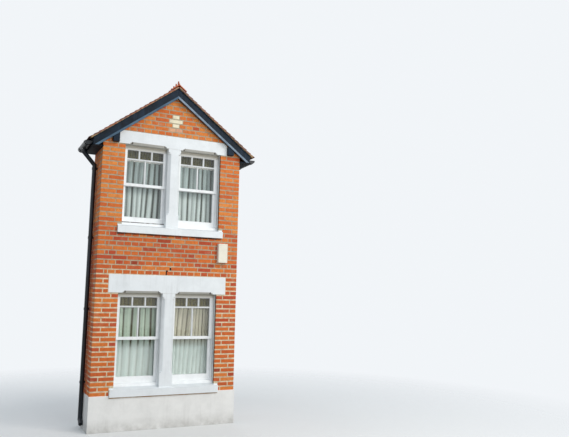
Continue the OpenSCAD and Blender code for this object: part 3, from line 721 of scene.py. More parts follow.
def dressed(material, *nodes, bevel=0.0, join=0.00005, sharper=30):
    """Gives CAD nodes their finish. A bevel softens the sharper arrises once their loose faces are joined."""
    for name in nodes:
        node = NODES[name]
        node.data.materials.clear()
        node.data.materials.append(material)
        if bevel:
            joined = node.modifiers.new("Joined faces", "WELD")
            joined.merge_threshold = join
            edge = node.modifiers.new("Worn arrises", "BEVEL")
            edge.width = bevel
            edge.segments = 2
            edge.limit_method = "ANGLE"
            edge.angle_limit = math.radians(sharper)


# Brickwork

# Narrowest piece of a brick that is laid, and how near a brick's end must come to a corner to be drawn out to it
SLIVER = 0.018
CORNER = 0.003

# How far a course may lie from the level that names it, stretchers in half the front, and the number of courses over
# the walls' top at which the gable's own bond starts
NEAR = 0.02
STRETCHERS = 5
GABLE_START = 3

# Room that bricks leave over a stone
OVER_STONE = 0.002

# How far the side's courses and the points of their bricks keep from the house wall, and how far short of a full
# stretcher the bricks go in that tie into a corner
SIDE_GRACE = 0.0005
BACK_GRACE = 0.0012
TIE_GRACE = 0.01

# Rise of a brick from end to end, for a quarter of a metre, and how tones are spread among the bricks. Bricks are
# paler or darker below the spandrel, at its foot, at its head and above it. The tones blend over a height above its
# foot and its head. The last is how cream the two limed bricks under the cross are.
BRICK_TILT = 0.0015
BRICK_TONES = (4.6, 3.6)
REGION_TONES = (0.02, -0.01, -0.01, 0.24)
REGION_BLEND = 0.1
LIMED_CREAM = 0.35

# The crack over the lower lintel steps up through an upright joint, a bed and the next upright joint
CRACK = ((-0.070, -0.050, SPANDREL_Z - 0.002, SPANDREL_Z + 0.070),
         (-0.008, 0.018, SPANDREL_Z + 0.075, SPANDREL_Z + 0.122))
CRACK_BED = (-0.070, -0.030, SPANDREL_Z + 0.055, SPANDREL_Z + 0.0755)


def minus(rows, hole):
    """Brick faces (low x, high x, low z, high z, depth, cream) less a rectangle, with what is left over or under it."""
    left, right, bottom, top = hole
    kept = []
    for x0, x1, z0, z1, *rest in rows:
        if x1 <= left or x0 >= right or z1 <= bottom or z0 >= top:
            kept.append((x0, x1, z0, z1, *rest))
            continue
        kept += [(a, b, z0, z1, *rest) for a, b in ((x0, left), (right, x1)) if b - a > SLIVER]
        a, b = max(x0, left), min(x1, right)
        kept += [(a, b, c, d, *rest) for c, d in ((z0, bottom), (top, z1)) if d - c > SLIVER]
    return kept


def face_height(z0, s):
    """Height of the brick faces in the course that starts at z0, less in the widely pointed lower walls."""
    return s.course - s.bed - (s.wide if z0 < SPANDREL_Z - NEAR else 0)


def run_of(start, end, size, joint):
    """Bricks of one size side by side from start to end, the last one cut to fit."""
    places, x = [], start
    while x < end - SLIVER:
        places.append((x, min(x + size, end)))
        x += size + joint
    return places


def in_spandrel(z0, s):
    """Whether the course that starts at z0 lies between the lower lintel and the upper sill."""
    return SPANDREL_Z - NEAR < z0 < UPPER_SILL_LINE - s.course / 2


def gable_first(s):
    """Number of the first course that is laid in the gable's own bond."""
    return round((WALL_TOP - PLINTH_TOP) / s.course) + GABLE_START


def front_course(row, s):
    """Right half of a course of the front, as (low x, high x, depth, cream).

    The spandrel has courses of stretchers and courses of headers with a closer beside each corner. The piers have
    a header and a stretcher in turn, and the gable has courses of headers and courses of stretchers.
    """
    module, closer = s.stretcher + s.joint, s.header / 2 - s.joint / 2
    z0 = PLINTH_TOP + row * s.course
    spandrel = in_spandrel(z0, s)
    if spandrel and row % 2 == 0:
        return [(x, x + s.stretcher, s.header, 0) for x in np.arange(STRETCHERS) * module + s.joint / 2]
    if spandrel:
        middles = np.arange(1, 2 * STRETCHERS - 1) * module / 2
        heads = [(x - s.header / 2, x + s.header / 2, s.header, 0) for x in middles]
        last = heads[-1][1] + s.joint
        return heads + [(last, last + closer, s.header, 0), (HALF_W - s.header, HALF_W, s.stretcher, 0)]
    if z0 < WALL_TOP + GABLE_START * s.course - NEAR:
        split = OPEN_X + (s.header if row % 2 == 0 else HALF_W - OPEN_X - s.header - s.joint)
        deep = s.header if row % 2 == 0 else s.stretcher
        more = s.wide / 2 if z0 < SPANDREL_Z else 0
        return [(OPEN_X, split - more, s.header, 0), (split + s.joint + more, HALF_W, deep, 0)]
    size = s.header if row % 2 == 0 else s.stretcher
    step = size + s.joint
    return [(x - size / 2, x + size / 2, s.header, 0) for x in np.arange(1, 2 * STRETCHERS) * step]


def gable_middle(row, s):
    """Middle of a gable course: two limed bricks, a brick of the cream cross on them, or one brick."""
    over = row - gable_first(s)
    if over == 1:
        near, far = s.joint / 2, s.stretcher / 2
        return [(-far, -near, s.header, LIMED_CREAM), (near, far, s.header, LIMED_CREAM)]
    size = s.header if row % 2 == 0 else s.stretcher
    return [(-size / 2, size / 2, s.header, 1.0 if over in (2, 3, 4) else 0.0)]


def front_rows(s):
    """All bricks of the front as (low x, high x, low z, high z, depth, cream), clear of openings and stonework."""
    rows = []
    for row in range(int((RAFTER_TOP - PLINTH_TOP) / s.course)):
        z0 = PLINTH_TOP + row * s.course
        z1 = z0 + face_height(z0, s)
        bricks = front_course(row, s)
        middle = gable_middle(row, s) if row >= gable_first(s) else []
        if in_spandrel(z0, s) and row % 2:
            middle = [(-s.header / 2, s.header / 2, s.header, 0)]
        limit = (RAFTER_TOP - z1) / SLOPE
        for x0, x1, deep, cream in bricks + [(-b, -a, d, c) for a, b, d, c in bricks] + middle:
            x0, x1 = (math.copysign(HALF_W, x) if abs(abs(x) - HALF_W) < CORNER else x for x in (x0, x1))
            x0, x1 = max(x0, -limit), min(x1, limit)
            if x1 - x0 > SLIVER:
                rows.append((x0, x1, z0, z1, deep, cream))
    for name in ("lower_lintel", "upper_lintel", "lower_sill", "upper_sill"):
        low, high = LOW[name], HIGH[name]
        rows = minus(rows, (low.x - s.joint / 2, high.x + s.joint / 2, low.z, high.z + OVER_STONE))
    for hole in CRACK:
        rows = minus(rows, hole)
    return rows


def side_rows(s):
    """Bricks of the right side behind the corner bricks, as (low y, high y, low z, high z, depth)."""
    closer, rows = s.header / 2 - s.joint / 2, []
    end = BACK_Y - SIDE_GRACE
    for row in range(round((WALL_TOP - PLINTH_TOP) / s.course)):
        z0 = PLINTH_TOP + row * s.course
        z1 = z0 + face_height(z0, s)
        if row % 2 == 0:
            start = FRONT_Y + s.header + s.joint
            places = [(start, start + closer)] + run_of(start + closer + s.joint, end, s.header, s.joint)
            deep = s.stretcher - TIE_GRACE
        else:
            places = run_of(FRONT_Y + s.stretcher + s.joint, end, s.stretcher, s.joint)
            deep = s.header
        rows += [(y0, y1, z0, z1, deep) for y0, y1 in places]
    return rows


def brick_blocks(s, low, high, cream, seed):
    """Rounded brick blocks between their low and high corners, a little out of true, with the tones of each."""
    draw = chance(seed)
    low, high = np.array(low, float), np.array(high, float)
    stray = draw.normal(0, s.unevenness / 2, (len(low), 3))
    size = high - low + draw.normal(0, s.unevenness / 2, (len(low), 3))
    zero = np.zeros(len(low))
    across = np.stack([size[:, 0], zero, draw.normal(0, BRICK_TILT, len(low)) * size[:, 0] * 4], -1)
    deep = np.stack([zero, size[:, 1], zero], -1)
    along = np.stack([zero, zero, size[:, 2]], -1)
    points = block_points(low + stray, across, deep, along, s.rounding, relief=s.unevenness * 0.5, seed=seed + 1)
    points[..., 1] = np.minimum(points[..., 1], BACK_Y - BACK_GRACE)
    levels = [SPANDREL_Z, SPANDREL_Z + REGION_BLEND, UPPER_SILL_LINE, UPPER_SILL_LINE + REGION_BLEND]
    region = np.interp((low[:, 2] + high[:, 2]) / 2, levels, REGION_TONES)
    fired = np.clip(draw.beta(*BRICK_TONES, len(low)) + region, 0, 1)
    return points, np.stack([fired, np.asarray(cream, float), zero], -1)


class BAY_OT_brickwork(bpy.types.Operator):
    """Bricks of the front, the gable and both sides, laid in courses on the walls' mortar"""
    bl_idname = "bay.brickwork"
    bl_label = "Brickwork"

    def execute(self, context):
        s = settings("brick")
        fired = brick_finish()
        front = front_rows(s)
        low = [(x0 - (s.proud if x0 <= -HALF_W else 0), FRONT_Y - s.proud, z0) for x0, _, z0, *_ in front]
        high = [(x1 + (s.proud if x1 >= HALF_W else 0), FRONT_Y + deep, z1) for _, x1, _, z1, deep, _ in front]
        points, tones = brick_blocks(s, low, high, [row[5] for row in front], 11)
        gable = np.array(low)[:, 2] > WALL_TOP - NEAR / 2
        for name, part in (("front_bricks", ~gable), ("gable_bricks", gable)):
            shown(name, tubes(name, points[part], tones[part]), fired)
        sides = side_rows(s)
        for name, sign in (("right_side_bricks", 1), ("left_side_bricks", -1)):
            xs = [sorted((sign * (HALF_W - row[4]), sign * (HALF_W + s.proud))) for row in sides]
            points, tones = brick_blocks(s, [(x[0], row[0], row[2]) for x, row in zip(xs, sides)],
                                         [(x[1], row[1], row[3]) for x, row in zip(xs, sides)],
                                         np.zeros(len(sides)), 31 + sign)
            shown(name, tubes(name, points, tones), fired)
        dressed(mortar_finish(), "left_wall", "right_wall", "left_pier", "right_pier", "spandrel_wall", "gable_wall")
        return {"FINISHED"}


# Stonework

class BAY_OT_stonework(bpy.types.Operator):
    """Painted lintels, mullions, sills and plinth, and the coat on the window reveals"""
    bl_idname = "bay.stonework"
    bl_label = "Stonework and plinth"

    def execute(self, context):
        s, brick = settings("stone"), settings("brick")
        white = masonry_paint("masonry_paint", s.white, rain=0.20, marks=shadowed_notches)
        render = masonry_paint("plinth_paint", s.plinth, rain=0.14, marks=splashed)
        dressed(white, "lower_lintel", "upper_lintel", "lower_mullion", "upper_mullion", "lower_sill", "upper_sill",
                bevel=0.004)
        dressed(render, "front_plinth", "side_plinths", bevel=0.006)
        for storey in ("lower", "upper"):
            points = self.reveals(HIGH[storey + "_sill"].z, LOW[storey + "_lintel"].z, s, brick)
            shown(storey + "_reveals", tubes(storey + "_reveals", points), white)
        return {"FINISHED"}

    @staticmethod
    def reveals(z0, z1, s, brick, rounding=0.0018, sunk=0.0008, bed=0.86):
        """The coat on both sides of an opening: a thin block on each, whose inner face is sunk over the bed joints.

        A bed joint is where the cosine of the height in courses, times 2 pi, is greater than bed.
        """
        corner = [(OPEN_X - s.reveal, FRONT_Y + brick.edge, z0), (-OPEN_X, FRONT_Y + brick.edge, z0)]
        deep = (0, FRAME_Y - FRONT_Y - brick.edge, 0)
        points = block_points(corner, [(s.reveal, 0, 0)] * 2, [deep] * 2, [(0, 0, z1 - z0)] * 2, rounding, rows=120)
        course = np.cos((points[..., 2] - PLINTH_TOP) / brick.course * 2 * math.pi)
        inner = np.sign(points[..., 0]) * (np.abs(points[..., 0]) < OPEN_X - s.reveal / 2)
        points[..., 0] += inner * sunk * (course > bed)
        return points


# Windows

# Space between two sashes, thickness of a sash and of its glass, and half the height of the meeting rails
PARTING = 0.008
SASH_T = (HIGH["lower_sashes"].y - LOW["lower_sashes"].y - PARTING) / 2
GLASS_T = 0.004
MEETING = 0.023

# A bar's depth on each side of its middle: of its nose and its moulded inside, and of the faces of its rebate
BAR_REACH = 0.0165
BAR_MOULD = 0.0145
REBATE_OUT = 0.002
REBATE_IN = 0.004

# How far the putty starts behind the sash's face
PUTTY_SET = 0.002

# The dark line under the upper left sash, painted shadow of the gap there and dirt: where it ends behind the mullion,
# and its edges from the sash's foot
SASH_LINE_END = -0.10
SASH_LINE_EDGES = (-0.004, 0.017)


class BAY_OT_joinery(bpy.types.Operator):
    """Glazing bars and putty of the sashes, and the paint of frames, sashes and window boards"""
    bl_idname = "bay.joinery"
    bl_label = "Window joinery"

    def execute(self, context):
        s = settings("joinery")
        white = gloss_paint("white_gloss", s.gloss, 0.28, dust=0.08, finish=self.head_shade_and_sash_line)
        dressed(white, "lower_frames", "upper_frames", "window_boards", bevel=0.0025)
        dressed(white, "lower_sashes", "upper_sashes", bevel=0.002)
        for storey in ("lower", "upper"):
            shown(storey + "_glazing_bars", self.bars(storey, s), white)
            shown(storey + "_putty", self.putty(storey, s), white)
        return {"FINISHED"}

    @staticmethod
    def head_shade_and_sash_line(made, colour):
        """Joinery paint with painted shade under the lintels, and a broken dark line under the upper left sash: painted
        shadow of the gap there, and dirt.
        """
        tree, low, shaded_under = made.tree, LOW["upper_sashes"], colour
        for storey in ("lower", "upper"):
            glass_top, sash_top = HIGH[storey + "_glass"].z, HIGH[storey + "_sashes"].z
            # Painted shade on the window heads under the lintels
            head = made.within((-OPEN_X, OPEN_X, glass_top, LOW[storey + "_lintel"].z + 0.05))
            share = spread(tree, made.part(2), glass_top, sash_top + 0.01, 0.3, 0.85)
            shaded_under = mixed(tree, product(tree, head, share), shaded_under, settings("stone").underside_shade)
        # A broken dark line on upright faces: painted shadow of the gap under the sash, and dirt
        line = made.within((low.x, SASH_LINE_END, low.z + SASH_LINE_EDGES[0], low.z + SASH_LINE_EDGES[1]))
        broken = spread(tree, noise(tree, stretched(tree, made.place, (14, 1, 1)), 1.0, 3.0), 0.26, 0.46)
        upright = spread(tree, figure(tree, "ABSOLUTE", made.upward()), 0.6, 0.3)
        return mixed(tree, product(tree, line, broken, upright), shaded_under, paint("40382E"))

    @staticmethod
    def panes(storey, s):
        """Panes of one right-hand light: (low x, high x, low z, high z, whether it is in the outer sash)."""
        x1, top = HIGH[storey + "_glass"].x, HIGH[storey + "_glass"].z
        x0 = HIGH[storey + "_mullion"].x + s.stile
        middle, bar_z = sash_middle(storey), top - s.small_pane
        rows = []
        for count, z0, z1 in ((3, bar_z + s.bar / 2, top), (2, middle + MEETING, bar_z - s.bar / 2)):
            width = (x1 - x0 - (count - 1) * s.bar) / count
            starts = [x0 + k * (width + s.bar) for k in range(count)]
            rows += [(start, start + width, z0, z1, True) for start in starts]
        return rows + [(x0, x1, LOW[storey + "_glass"].z, middle - MEETING, False)]

    def bars(self, storey, s):
        """Bars between the panes, each a profile with a nose, putty bevels, a square rebate and a moulded inside."""
        panes = self.panes(storey, s)
        x0, x1 = panes[0][0], panes[2][1]
        bar_z = panes[0][2] - s.bar / 2
        glass_y = LOW[storey + "_sashes"].y + SASH_T / 2
        half, nose = s.bar / 2, s.bar_nose / 2
        one_side = [(nose, -BAR_REACH), (half, -REBATE_OUT), (half, REBATE_IN), (nose * 1.3, BAR_MOULD),
                    (nose * 0.8, BAR_REACH)]
        profile = [(-nose, -BAR_REACH), *one_side, *[(-u, v) for u, v in one_side[:0:-1]]]
        lines = [((x0, bar_z), (x1, bar_z))]
        lines += [((panes[k][1] + half, bar_z + half), (panes[k][1] + half, panes[k][3])) for k in range(2)]
        lines += [((panes[3][1] + half, panes[3][2]), (panes[3][1] + half, bar_z - half))]
        bars = []
        for (ax, az), (bx, bz) in lines:
            wide_x, wide_z = (0, 1) if abs(bx - ax) > abs(bz - az) else (1, 0)
            bars.append([[(x + wide_x * u, glass_y + v, z + wide_z * u) for u, v in profile]
                         for x, z in ((ax, az), (bx, bz))])
        points = np.array(bars)
        return tubes(storey + "_glazing_bars", np.concatenate([points, points * [-1, 1, 1]]))

    def putty(self, storey, s):
        """Bevels of putty round each pane: three-sided strips with mitred ends."""
        low_y = LOW[storey + "_sashes"].y
        strips = []
        for x0, x1, z0, z1, outer in self.panes(storey, s):
            face = low_y if outer else low_y + SASH_T + PARTING
            glass = face + SASH_T / 2 - GLASS_T / 2
            inset = ((0.0, face + PUTTY_SET), (s.putty, glass), (0.0, glass))
            corners = ((x0, z0, 1, 1), (x1, z0, -1, 1), (x1, z1, -1, -1), (x0, z1, 1, -1))
            ends = [[(x + to_x * d, y, z + to_z * d) for d, y in inset] for x, z, to_x, to_z in corners]
            strips += zip(ends, ends[1:] + ends[:1])
        points = np.array(strips)
        return tubes(storey + "_putty", np.concatenate([points, points * [-1, 1, 1]]))


class BAY_OT_glass(bpy.types.Operator):
    """Old window glass, slightly wavy"""
    bl_idname = "bay.glass"
    bl_label = "Glass"

    def execute(self, context):
        s = settings("joinery")
        made = Finish("window_glass", Roughness=0.015, IOR=1.5, Transmission_Weight=1.0, Metallic=0.0)
        made.shader.inputs["Base Color"].default_value = (*s.glass, 1.0)
        made.feed(Normal=made.relief(coarse=(5.0, 0.0012), fine=(16.0, 0.0002)))
        dressed(made.material, "lower_glass", "upper_glass")
        for name in ("lower_glass", "upper_glass"):
            NODES[name].visible_shadow = False
        return {"FINISHED"}


# Cloth

# Slow waves that push the folds about: waves in the width of the cloth, and folds that each pushes
DRIFTS = ((1, 0.12), (2.3, 0.06), (4.1, 0.04), (6.7, 0.02))

# How much deeper than its start a gap is fully dark, and where up the cloth the shade of the lower half begins to turn
# into that of the upper half, and over how much of the height
GAP_EDGE = 0.22
UPPER_HALF = (0.44, 0.10)

# How far the cloth stops short of its slab's sides, and how far inside the mullion's edge a curtain starts
CLOTH_EDGE = 0.005
BEHIND_MULLION = 0.080

# How each storey's curtains look: painted shade of the gaps in the lower half, painted shade in the hollows, and the
# depth where gaps start
GAP_LOOKS = {"lower": {"below": 0.12, "soft": 0.26, "start": 0.56},
             "upper": {"below": 0.85, "soft": 0.62, "start": 0.48}}

# How each curtain hangs: folds more than its storey has, how far its folds are moved along, how far they lean up to
# the height straight, and how dark the gap at each fold is
HUNG = {"lower_left": (0, {"offset": 0.40, "lean": 0.35, "straight": 0.5,
                           "gaps": (0.8, 1.0, 1.0, 0.9, 1.0, 1.0, 0.9, 0.8)}),
        "lower_right": (4, {"offset": 0.10, "lean": 0.90, "straight": 1.0,
                            "gaps": (0.3, 0.3, 0.5, 0.3, 0.6, 0.4, 0.4, 0.5, 1.0, 0.4, 0.9, 0.5)}),
        "upper_left": (0, {"offset": -0.35, "lean": 0.35, "straight": 1.0,
                           "gaps": (0.3, 1.0, 0.15, 0.45, 0.6, 0.75, 1.0, 0.7, 0.5, 0.5)}),
        "upper_right": (0, {"offset": -0.6, "lean": 0.15, "straight": 1.0,
                            "gaps": (0.3, 0.2, 1.0, 0.1, 0.45, 1.0, 0.3, 0.7, 0.4, 0.4)})}


def cloth_points(x0, x1, y, z0, z1, folds, depth, seed, gaps, below, lean, soft, start, offset=0.0, straight=1.0,
                 columns=300, rows=30):
    """A gathered curtain: its plan is a wave of uneven folds, which spread, lean and fade from the rod to the hem.

    Along the width the point is x = x0 + u (x1 - x0) + a swing, y = y + a reach times the sine of the fold's phase.
    The phase is 2 pi times the folds times u, plus the offset, pushed about by four slow waves and leaning with the
    height v up to the height straight. The swing makes each fold overhang its sides. Both are largest where a fold
    swells, and the reach has a share of its own in each fold. The second result tells how dark each point is: as
    much as soft in the hollows, and as much as gaps says in the gap at each fold, times below in the lower half.
    """
    draw = chance(seed)
    u = np.linspace(0, 1, columns)[None]
    v = np.linspace(0, 1, rows)[:, None]
    drift = sum(size * np.sin(2 * math.pi * waves * u + start_at)
                for (waves, size), start_at in zip(DRIFTS, draw.uniform(0, 6.28, len(DRIFTS))))
    leaning = lean * np.minimum(v, straight) * np.sin(math.pi * u) + 0.05 * np.sin(2 * math.pi * (1.3 * u + 0.6 * v))
    phase = 2 * math.pi * (folds * u + offset + drift - leaning)
    swell = 0.78 + 0.22 * np.sin(2 * math.pi * (2.6 * u + draw.uniform(0, 1)) + 0.8 * v)
    number = np.floor(phase / (2 * math.pi)).astype(int)
    reach = depth * swell * (0.62 + 0.38 * v) * draw.uniform(0.7, 1.0, 64)[number % 64]
    swing = (x1 - x0) / folds * 0.13 * np.sin(2 * phase) * swell
    px = x0 + (x1 - x0) * u + swing * np.minimum(1, 12 * u * (1 - u))
    hollow = 0.5 - 0.5 * np.sin(phase)
    gap = np.clip((hollow - start) / GAP_EDGE, 0, 1) ** 1.2 * np.array(gaps)[np.clip(number, 0, len(gaps) - 1)]
    high = below + (1 - below) * np.clip((v - UPPER_HALF[0]) / UPPER_HALF[1], 0, 1)
    fine = 0.05 * np.sin(5.0 * phase + 4 * v) * (1 - hollow)
    # Painted shade: in the hollows, in the gaps between the folds, and in a fine ripple along them
    shade = np.clip(soft * hollow ** 1.5 * (1.2 - 0.5 * v) + gap * high + fine, 0, 1)
    return np.stack([px + 0 * v, y - reach * np.sin(phase), z0 + (z1 - z0) * v + 0 * u], -1), shade


def heights(node):
    """Heights of a CAD node's points."""
    mesh = NODES[node].data
    points = np.empty(3 * len(mesh.vertices), np.float32)
    mesh.vertices.foreach_get("co", points)
    return points[2::3].astype(float)


def sheet_mesh(name, points, fold):
    """A sheet from a grid of points, with a map in metres of cloth and its painted shade in the attribute fold."""
    rows, columns, _ = points.shape
    j, i = np.meshgrid(np.arange(rows - 1) * columns, np.arange(columns - 1), indexing="ij")
    quads = np.stack([j + i, j + i + 1, j + columns + i + 1, j + columns + i], -1).reshape(-1)
    mesh = filled(name, points.reshape(-1, 3), np.arange(0, len(quads), 4), quads)
    steps = np.linalg.norm(np.diff(points, axis=1), axis=-1)
    across = np.concatenate([np.zeros((rows, 1)), np.cumsum(steps, axis=1)], axis=1)
    laid = np.stack([across, points[..., 2]], -1).reshape(-1, 2)
    mesh.uv_layers.new(name="cloth").data.foreach_set("uv", laid[quads].astype(np.float32).ravel())
    attribute = mesh.attributes.new("fold", "FLOAT", "POINT")
    attribute.data.foreach_set("value", (fold + np.zeros((rows, columns))).astype(np.float32).ravel())
    return mesh, float(across[:, -1].mean())


def cloth_finish(name, lit, shade, threads, sheen, reflection_colours=None, middle=0.0):
    """Woven cloth with painted shade in the gaps between its folds. Above its middle it takes other colours, left and
    right unlike, as painted reflection in the outer sashes.
    """
    made = Finish(name, Roughness=0.9, Sheen_Weight=sheen)
    fold = add(made.tree, "Attribute", attribute_name="fold", attribute_type="GEOMETRY").outputs["Fac"]
    cloth = add(made.tree, "UVMap", uv_map="cloth").outputs[0]
    weave = made.use("Plain weave", Vector=cloth, Threads=threads, Depth=0.0002)
    # Above the middle: painted reflection in the outer sashes
    if reflection_colours:
        high = spread(made.tree, made.part(2), middle - 0.16, middle + 0.02, to_high=0.85)
        right = figure(made.tree, "GREATER_THAN", made.part(0))
        lit = mixed(made.tree, high, lit, mixed(made.tree, right, *reflection_colours))
    hanging = mixed(made.tree, fold, lit, shade)
    threads_seen = mixed(made.tree, product(made.tree, weave["Mask"], 0.1), hanging, shade)
    made.feed(Base_Color=threads_seen, Normal=weave["Normal"])
    return made.material


class BAY_OT_curtains(bpy.types.Operator):
    """Net curtains with painted shade between their folds, and dark valances that stand for shade and reflection behind
    the small panes, gathered on their rods
    """
    bl_idname = "bay.curtains"
    bl_label = "Curtains"

    def execute(self, context):
        s = settings("cloth")
        for number, storey in enumerate(("lower", "upper")):
            self.nets(storey, number, s)
            self.valance(storey, number, s)
        enamel = gloss_paint("rod_enamel", settings("trim").rod, 0.35, dust=0.05)
        dressed(enamel, "curtain_rods")
        return {"FINISHED"}

    @staticmethod
    def fall(storey, node):
        """Where the slabs of a storey hang: the rods' y, and the lowest and highest height of the slabs."""
        split = (LOW["lower_glass"].z + HIGH["upper_glass"].z) / 2
        z = heights(node)
        z = z[z < split] if storey == "lower" else z[z > split]
        return (LOW["curtain_rods"].y + HIGH["curtain_rods"].y) / 2, float(z.min()), float(z.max())

    def nets(self, storey, number, s):
        """Two net curtains, one behind each light."""
        # Colours above the meeting rail: painted reflection in the outer sashes
        reflection_colours = {"lower": (s.reflected_left_net, s.reflected_right_net), "upper": (s.upper_high, s.upper_high)}[storey]
        net = cloth_finish(storey + "_net", getattr(s, storey + "_net"), getattr(s, storey + "_gap"), threads=2600.0,
                           sheen=0.3, reflection_colours=reflection_colours, middle=sash_middle(storey))
        for side, sign in (("left", -1), ("right", 1)):
            inner, outer = HIGH["lower_mullion"].x - BEHIND_MULLION, HIGH["curtains"].x - CLOTH_EDGE
            more, hung = HUNG[f"{storey}_{side}"]
            points, fold = cloth_points(*sorted((sign * inner, sign * outer)), *self.fall(storey, "curtains"),
                                        getattr(s, storey + "_folds") + more, s.depth, 50 + 7 * number + sign,
                                        **hung, **GAP_LOOKS[storey])
            self.hang(f"{storey}_{side}_curtain", points, fold, net, "net_cloth", "curtains")

    def valance(self, storey, number, s):
        """One valance across both lights, in narrower and shallower folds, with painted shade in its hollows: a dark
        sheet that stands for the shade and reflection behind the small top panes.
        """
        olive = cloth_finish(storey + "_olive_cloth", getattr(s, storey + "_olive"),
                             getattr(s, storey + "_olive_dark"), threads=1800.0, sheen=0.2)
        points, fold = cloth_points(LOW["valances"].x + CLOTH_EDGE, HIGH["valances"].x - CLOTH_EDGE,
                                    *self.fall(storey, "valances"), 4 * getattr(s, storey + "_folds"), s.depth * 0.6,
                                    80 + number, gaps=chance(90).uniform(0.3, 0.9, 40), below=1.0, lean=0.1, soft=0.3,
                                    start=0.66, columns=520, rows=8)
        self.hang(f"{storey}_valance", points, fold, olive, "olive_cloth", "valances")

    @staticmethod
    def hang(name, points, fold, material, slot, node):
        """Makes one sheet and lets it stand for the plain slab, which it hides."""
        mesh, cut = sheet_mesh(name, points, fold)
        piece = shown(name, mesh, material, sharp=180)
        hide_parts(node)


# Inside

# Width of a floor board, the gap between two boards and the rounding of their edges
FLOOR_BOARD = 0.158
FLOOR_GAP = 0.0014
FLOOR_ARRIS = 0.0018


class BAY_OT_inside(bpy.types.Operator):
    """Plaster, ceilings, joists and the separate boards of both floors"""
    bl_idname = "bay.inside"
    bl_label = "Inside"

    def execute(self, context):
        s = settings("trim")
        walls = Finish("wall_plaster", Roughness=0.85)
        walls.feed(Base_Color=walls.mottled(s.plaster, paint("D8CFBD"), scale=3.0, amount=0.5, speckle=0.02),
                   Normal=walls.relief(coarse=(12.0, 0.0008), fine=(500.0, 0.0002)))
        dressed(walls.material, "plaster", "ceilings")
        dressed(timber_finish("joist_timber", s.timber, (2.0, 45.0, 45.0)), "floor_joists", "inner_lintels",
                "ceiling_joists", bevel=0.002)
        boards = timber_finish("floor_timber", s.floor, (38.0, 2.0, 38.0), 0.45)
        for node, name in (("ground_floor", "ground_floor_boards"), ("first_floor", "first_floor_boards")):
            low, high = LOW[node], HIGH[node]
            count = round((high.x - low.x) / FLOOR_BOARD)
            width = (high.x - low.x) / count
            x = low.x + np.arange(count) * width + FLOOR_GAP / 2
            corner = np.stack([x, np.full(count, low.y), np.full(count, low.z)], -1)
            points = block_points(corner, [(width - FLOOR_GAP, 0, 0)] * count, [(0, 0, high.z - low.z)] * count,
                                  [(0, high.y - low.y, 0)] * count, FLOOR_ARRIS, rows=10, relief=0.0002, seed=61)
            piece = shown(name, tubes(name, points), boards)
            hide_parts(node)
        return {"FINISHED"}


# Roof

# Room that the courses leave under the ridge, and the gap between two tiles
RIDGE_ROOM = 0.02
TILE_GAP = 0.0016

# Tiles that start this near to the verge are the redder ones, and this near to the house wall no more tile is laid
TILE_SLIVER = 0.01

# Rounding and unevenness of the tiles, how far they stray up the slope and out of it, and how many times its own
# thickness a tile falls for each gauge
TILE_ARRIS = 0.0025
TILE_RELIEF = 0.0005
TILE_STRAY = (0.003, 0.0007)
TILE_FALL = 1.04

# The strip of mortar under the verge tiles: its foot up the slope, how much shorter than the slope it is, how far
# behind the verge it lies, its width, and how far below the tiles' top it ends
BED_FOOT = 0.03
BED_SHORT = 0.035
BED_BACK = 0.006
BED_WIDE = 0.10
BED_UNDER = 0.013

# Width of a roof board and the gap between two
ROOF_BOARD = 0.15
ROOF_GAP = 0.002


def slope_points(corner_s, corner_y, corner_h, size_s, size_y, size_h, side, rounding, **more):
    """Blocks on one roof slope: s runs up it from the eaves, y along the eaves and h out of the boards' top."""
    run, rise = math.cos(PITCH), math.sin(PITCH)
    up = np.array([-run * side, 0, rise])
    out = np.array([rise * side, 0, run])
    corner_s, corner_y, corner_h = (np.asarray(v, float)[:, None] for v in (corner_s, corner_y, corner_h))
    corner = EAVES * [side, 1, 1] + corner_s * up + corner_y * [0, 1, 0] + corner_h * out
    size_y = np.asarray(size_y, float)[:, None] * [0, 1, 0]
    size_h = np.asarray(size_h, float)[:, None] * out
    size_s = np.asarray(size_s, float)[:, None] * up
    return block_points(corner, size_y, size_h, size_s, rounding, **more), up, out


def tile_finish(name, brown, pink, orange):
    """Weathered clay tiles: a colour of its own for each tile, grime and pale lichen."""
    made = Finish(name, Roughness=0.86)
    tone = made.tones()[0]
    base = ramp(made.tree, tone, (0.0, darker(brown, 0.7)), (0.4, brown), (0.75, pink), (1.0, orange))
    patchy = made.mottled(base, darker(brown, 0.6), scale=15.0, amount=0.55, speckle=0.12)
    lichen = spread(made.tree, noise(made.tree, made.place, 34.0, 3.0, 0.7), 0.66, 0.76, to_high=0.5)
    made.feed(Base_Color=mixed(made.tree, lichen, patchy, paint("A9A387")),
              Normal=made.relief(coarse=(50.0, 0.0014), fine=(600.0, 0.0005)))
    return made.material


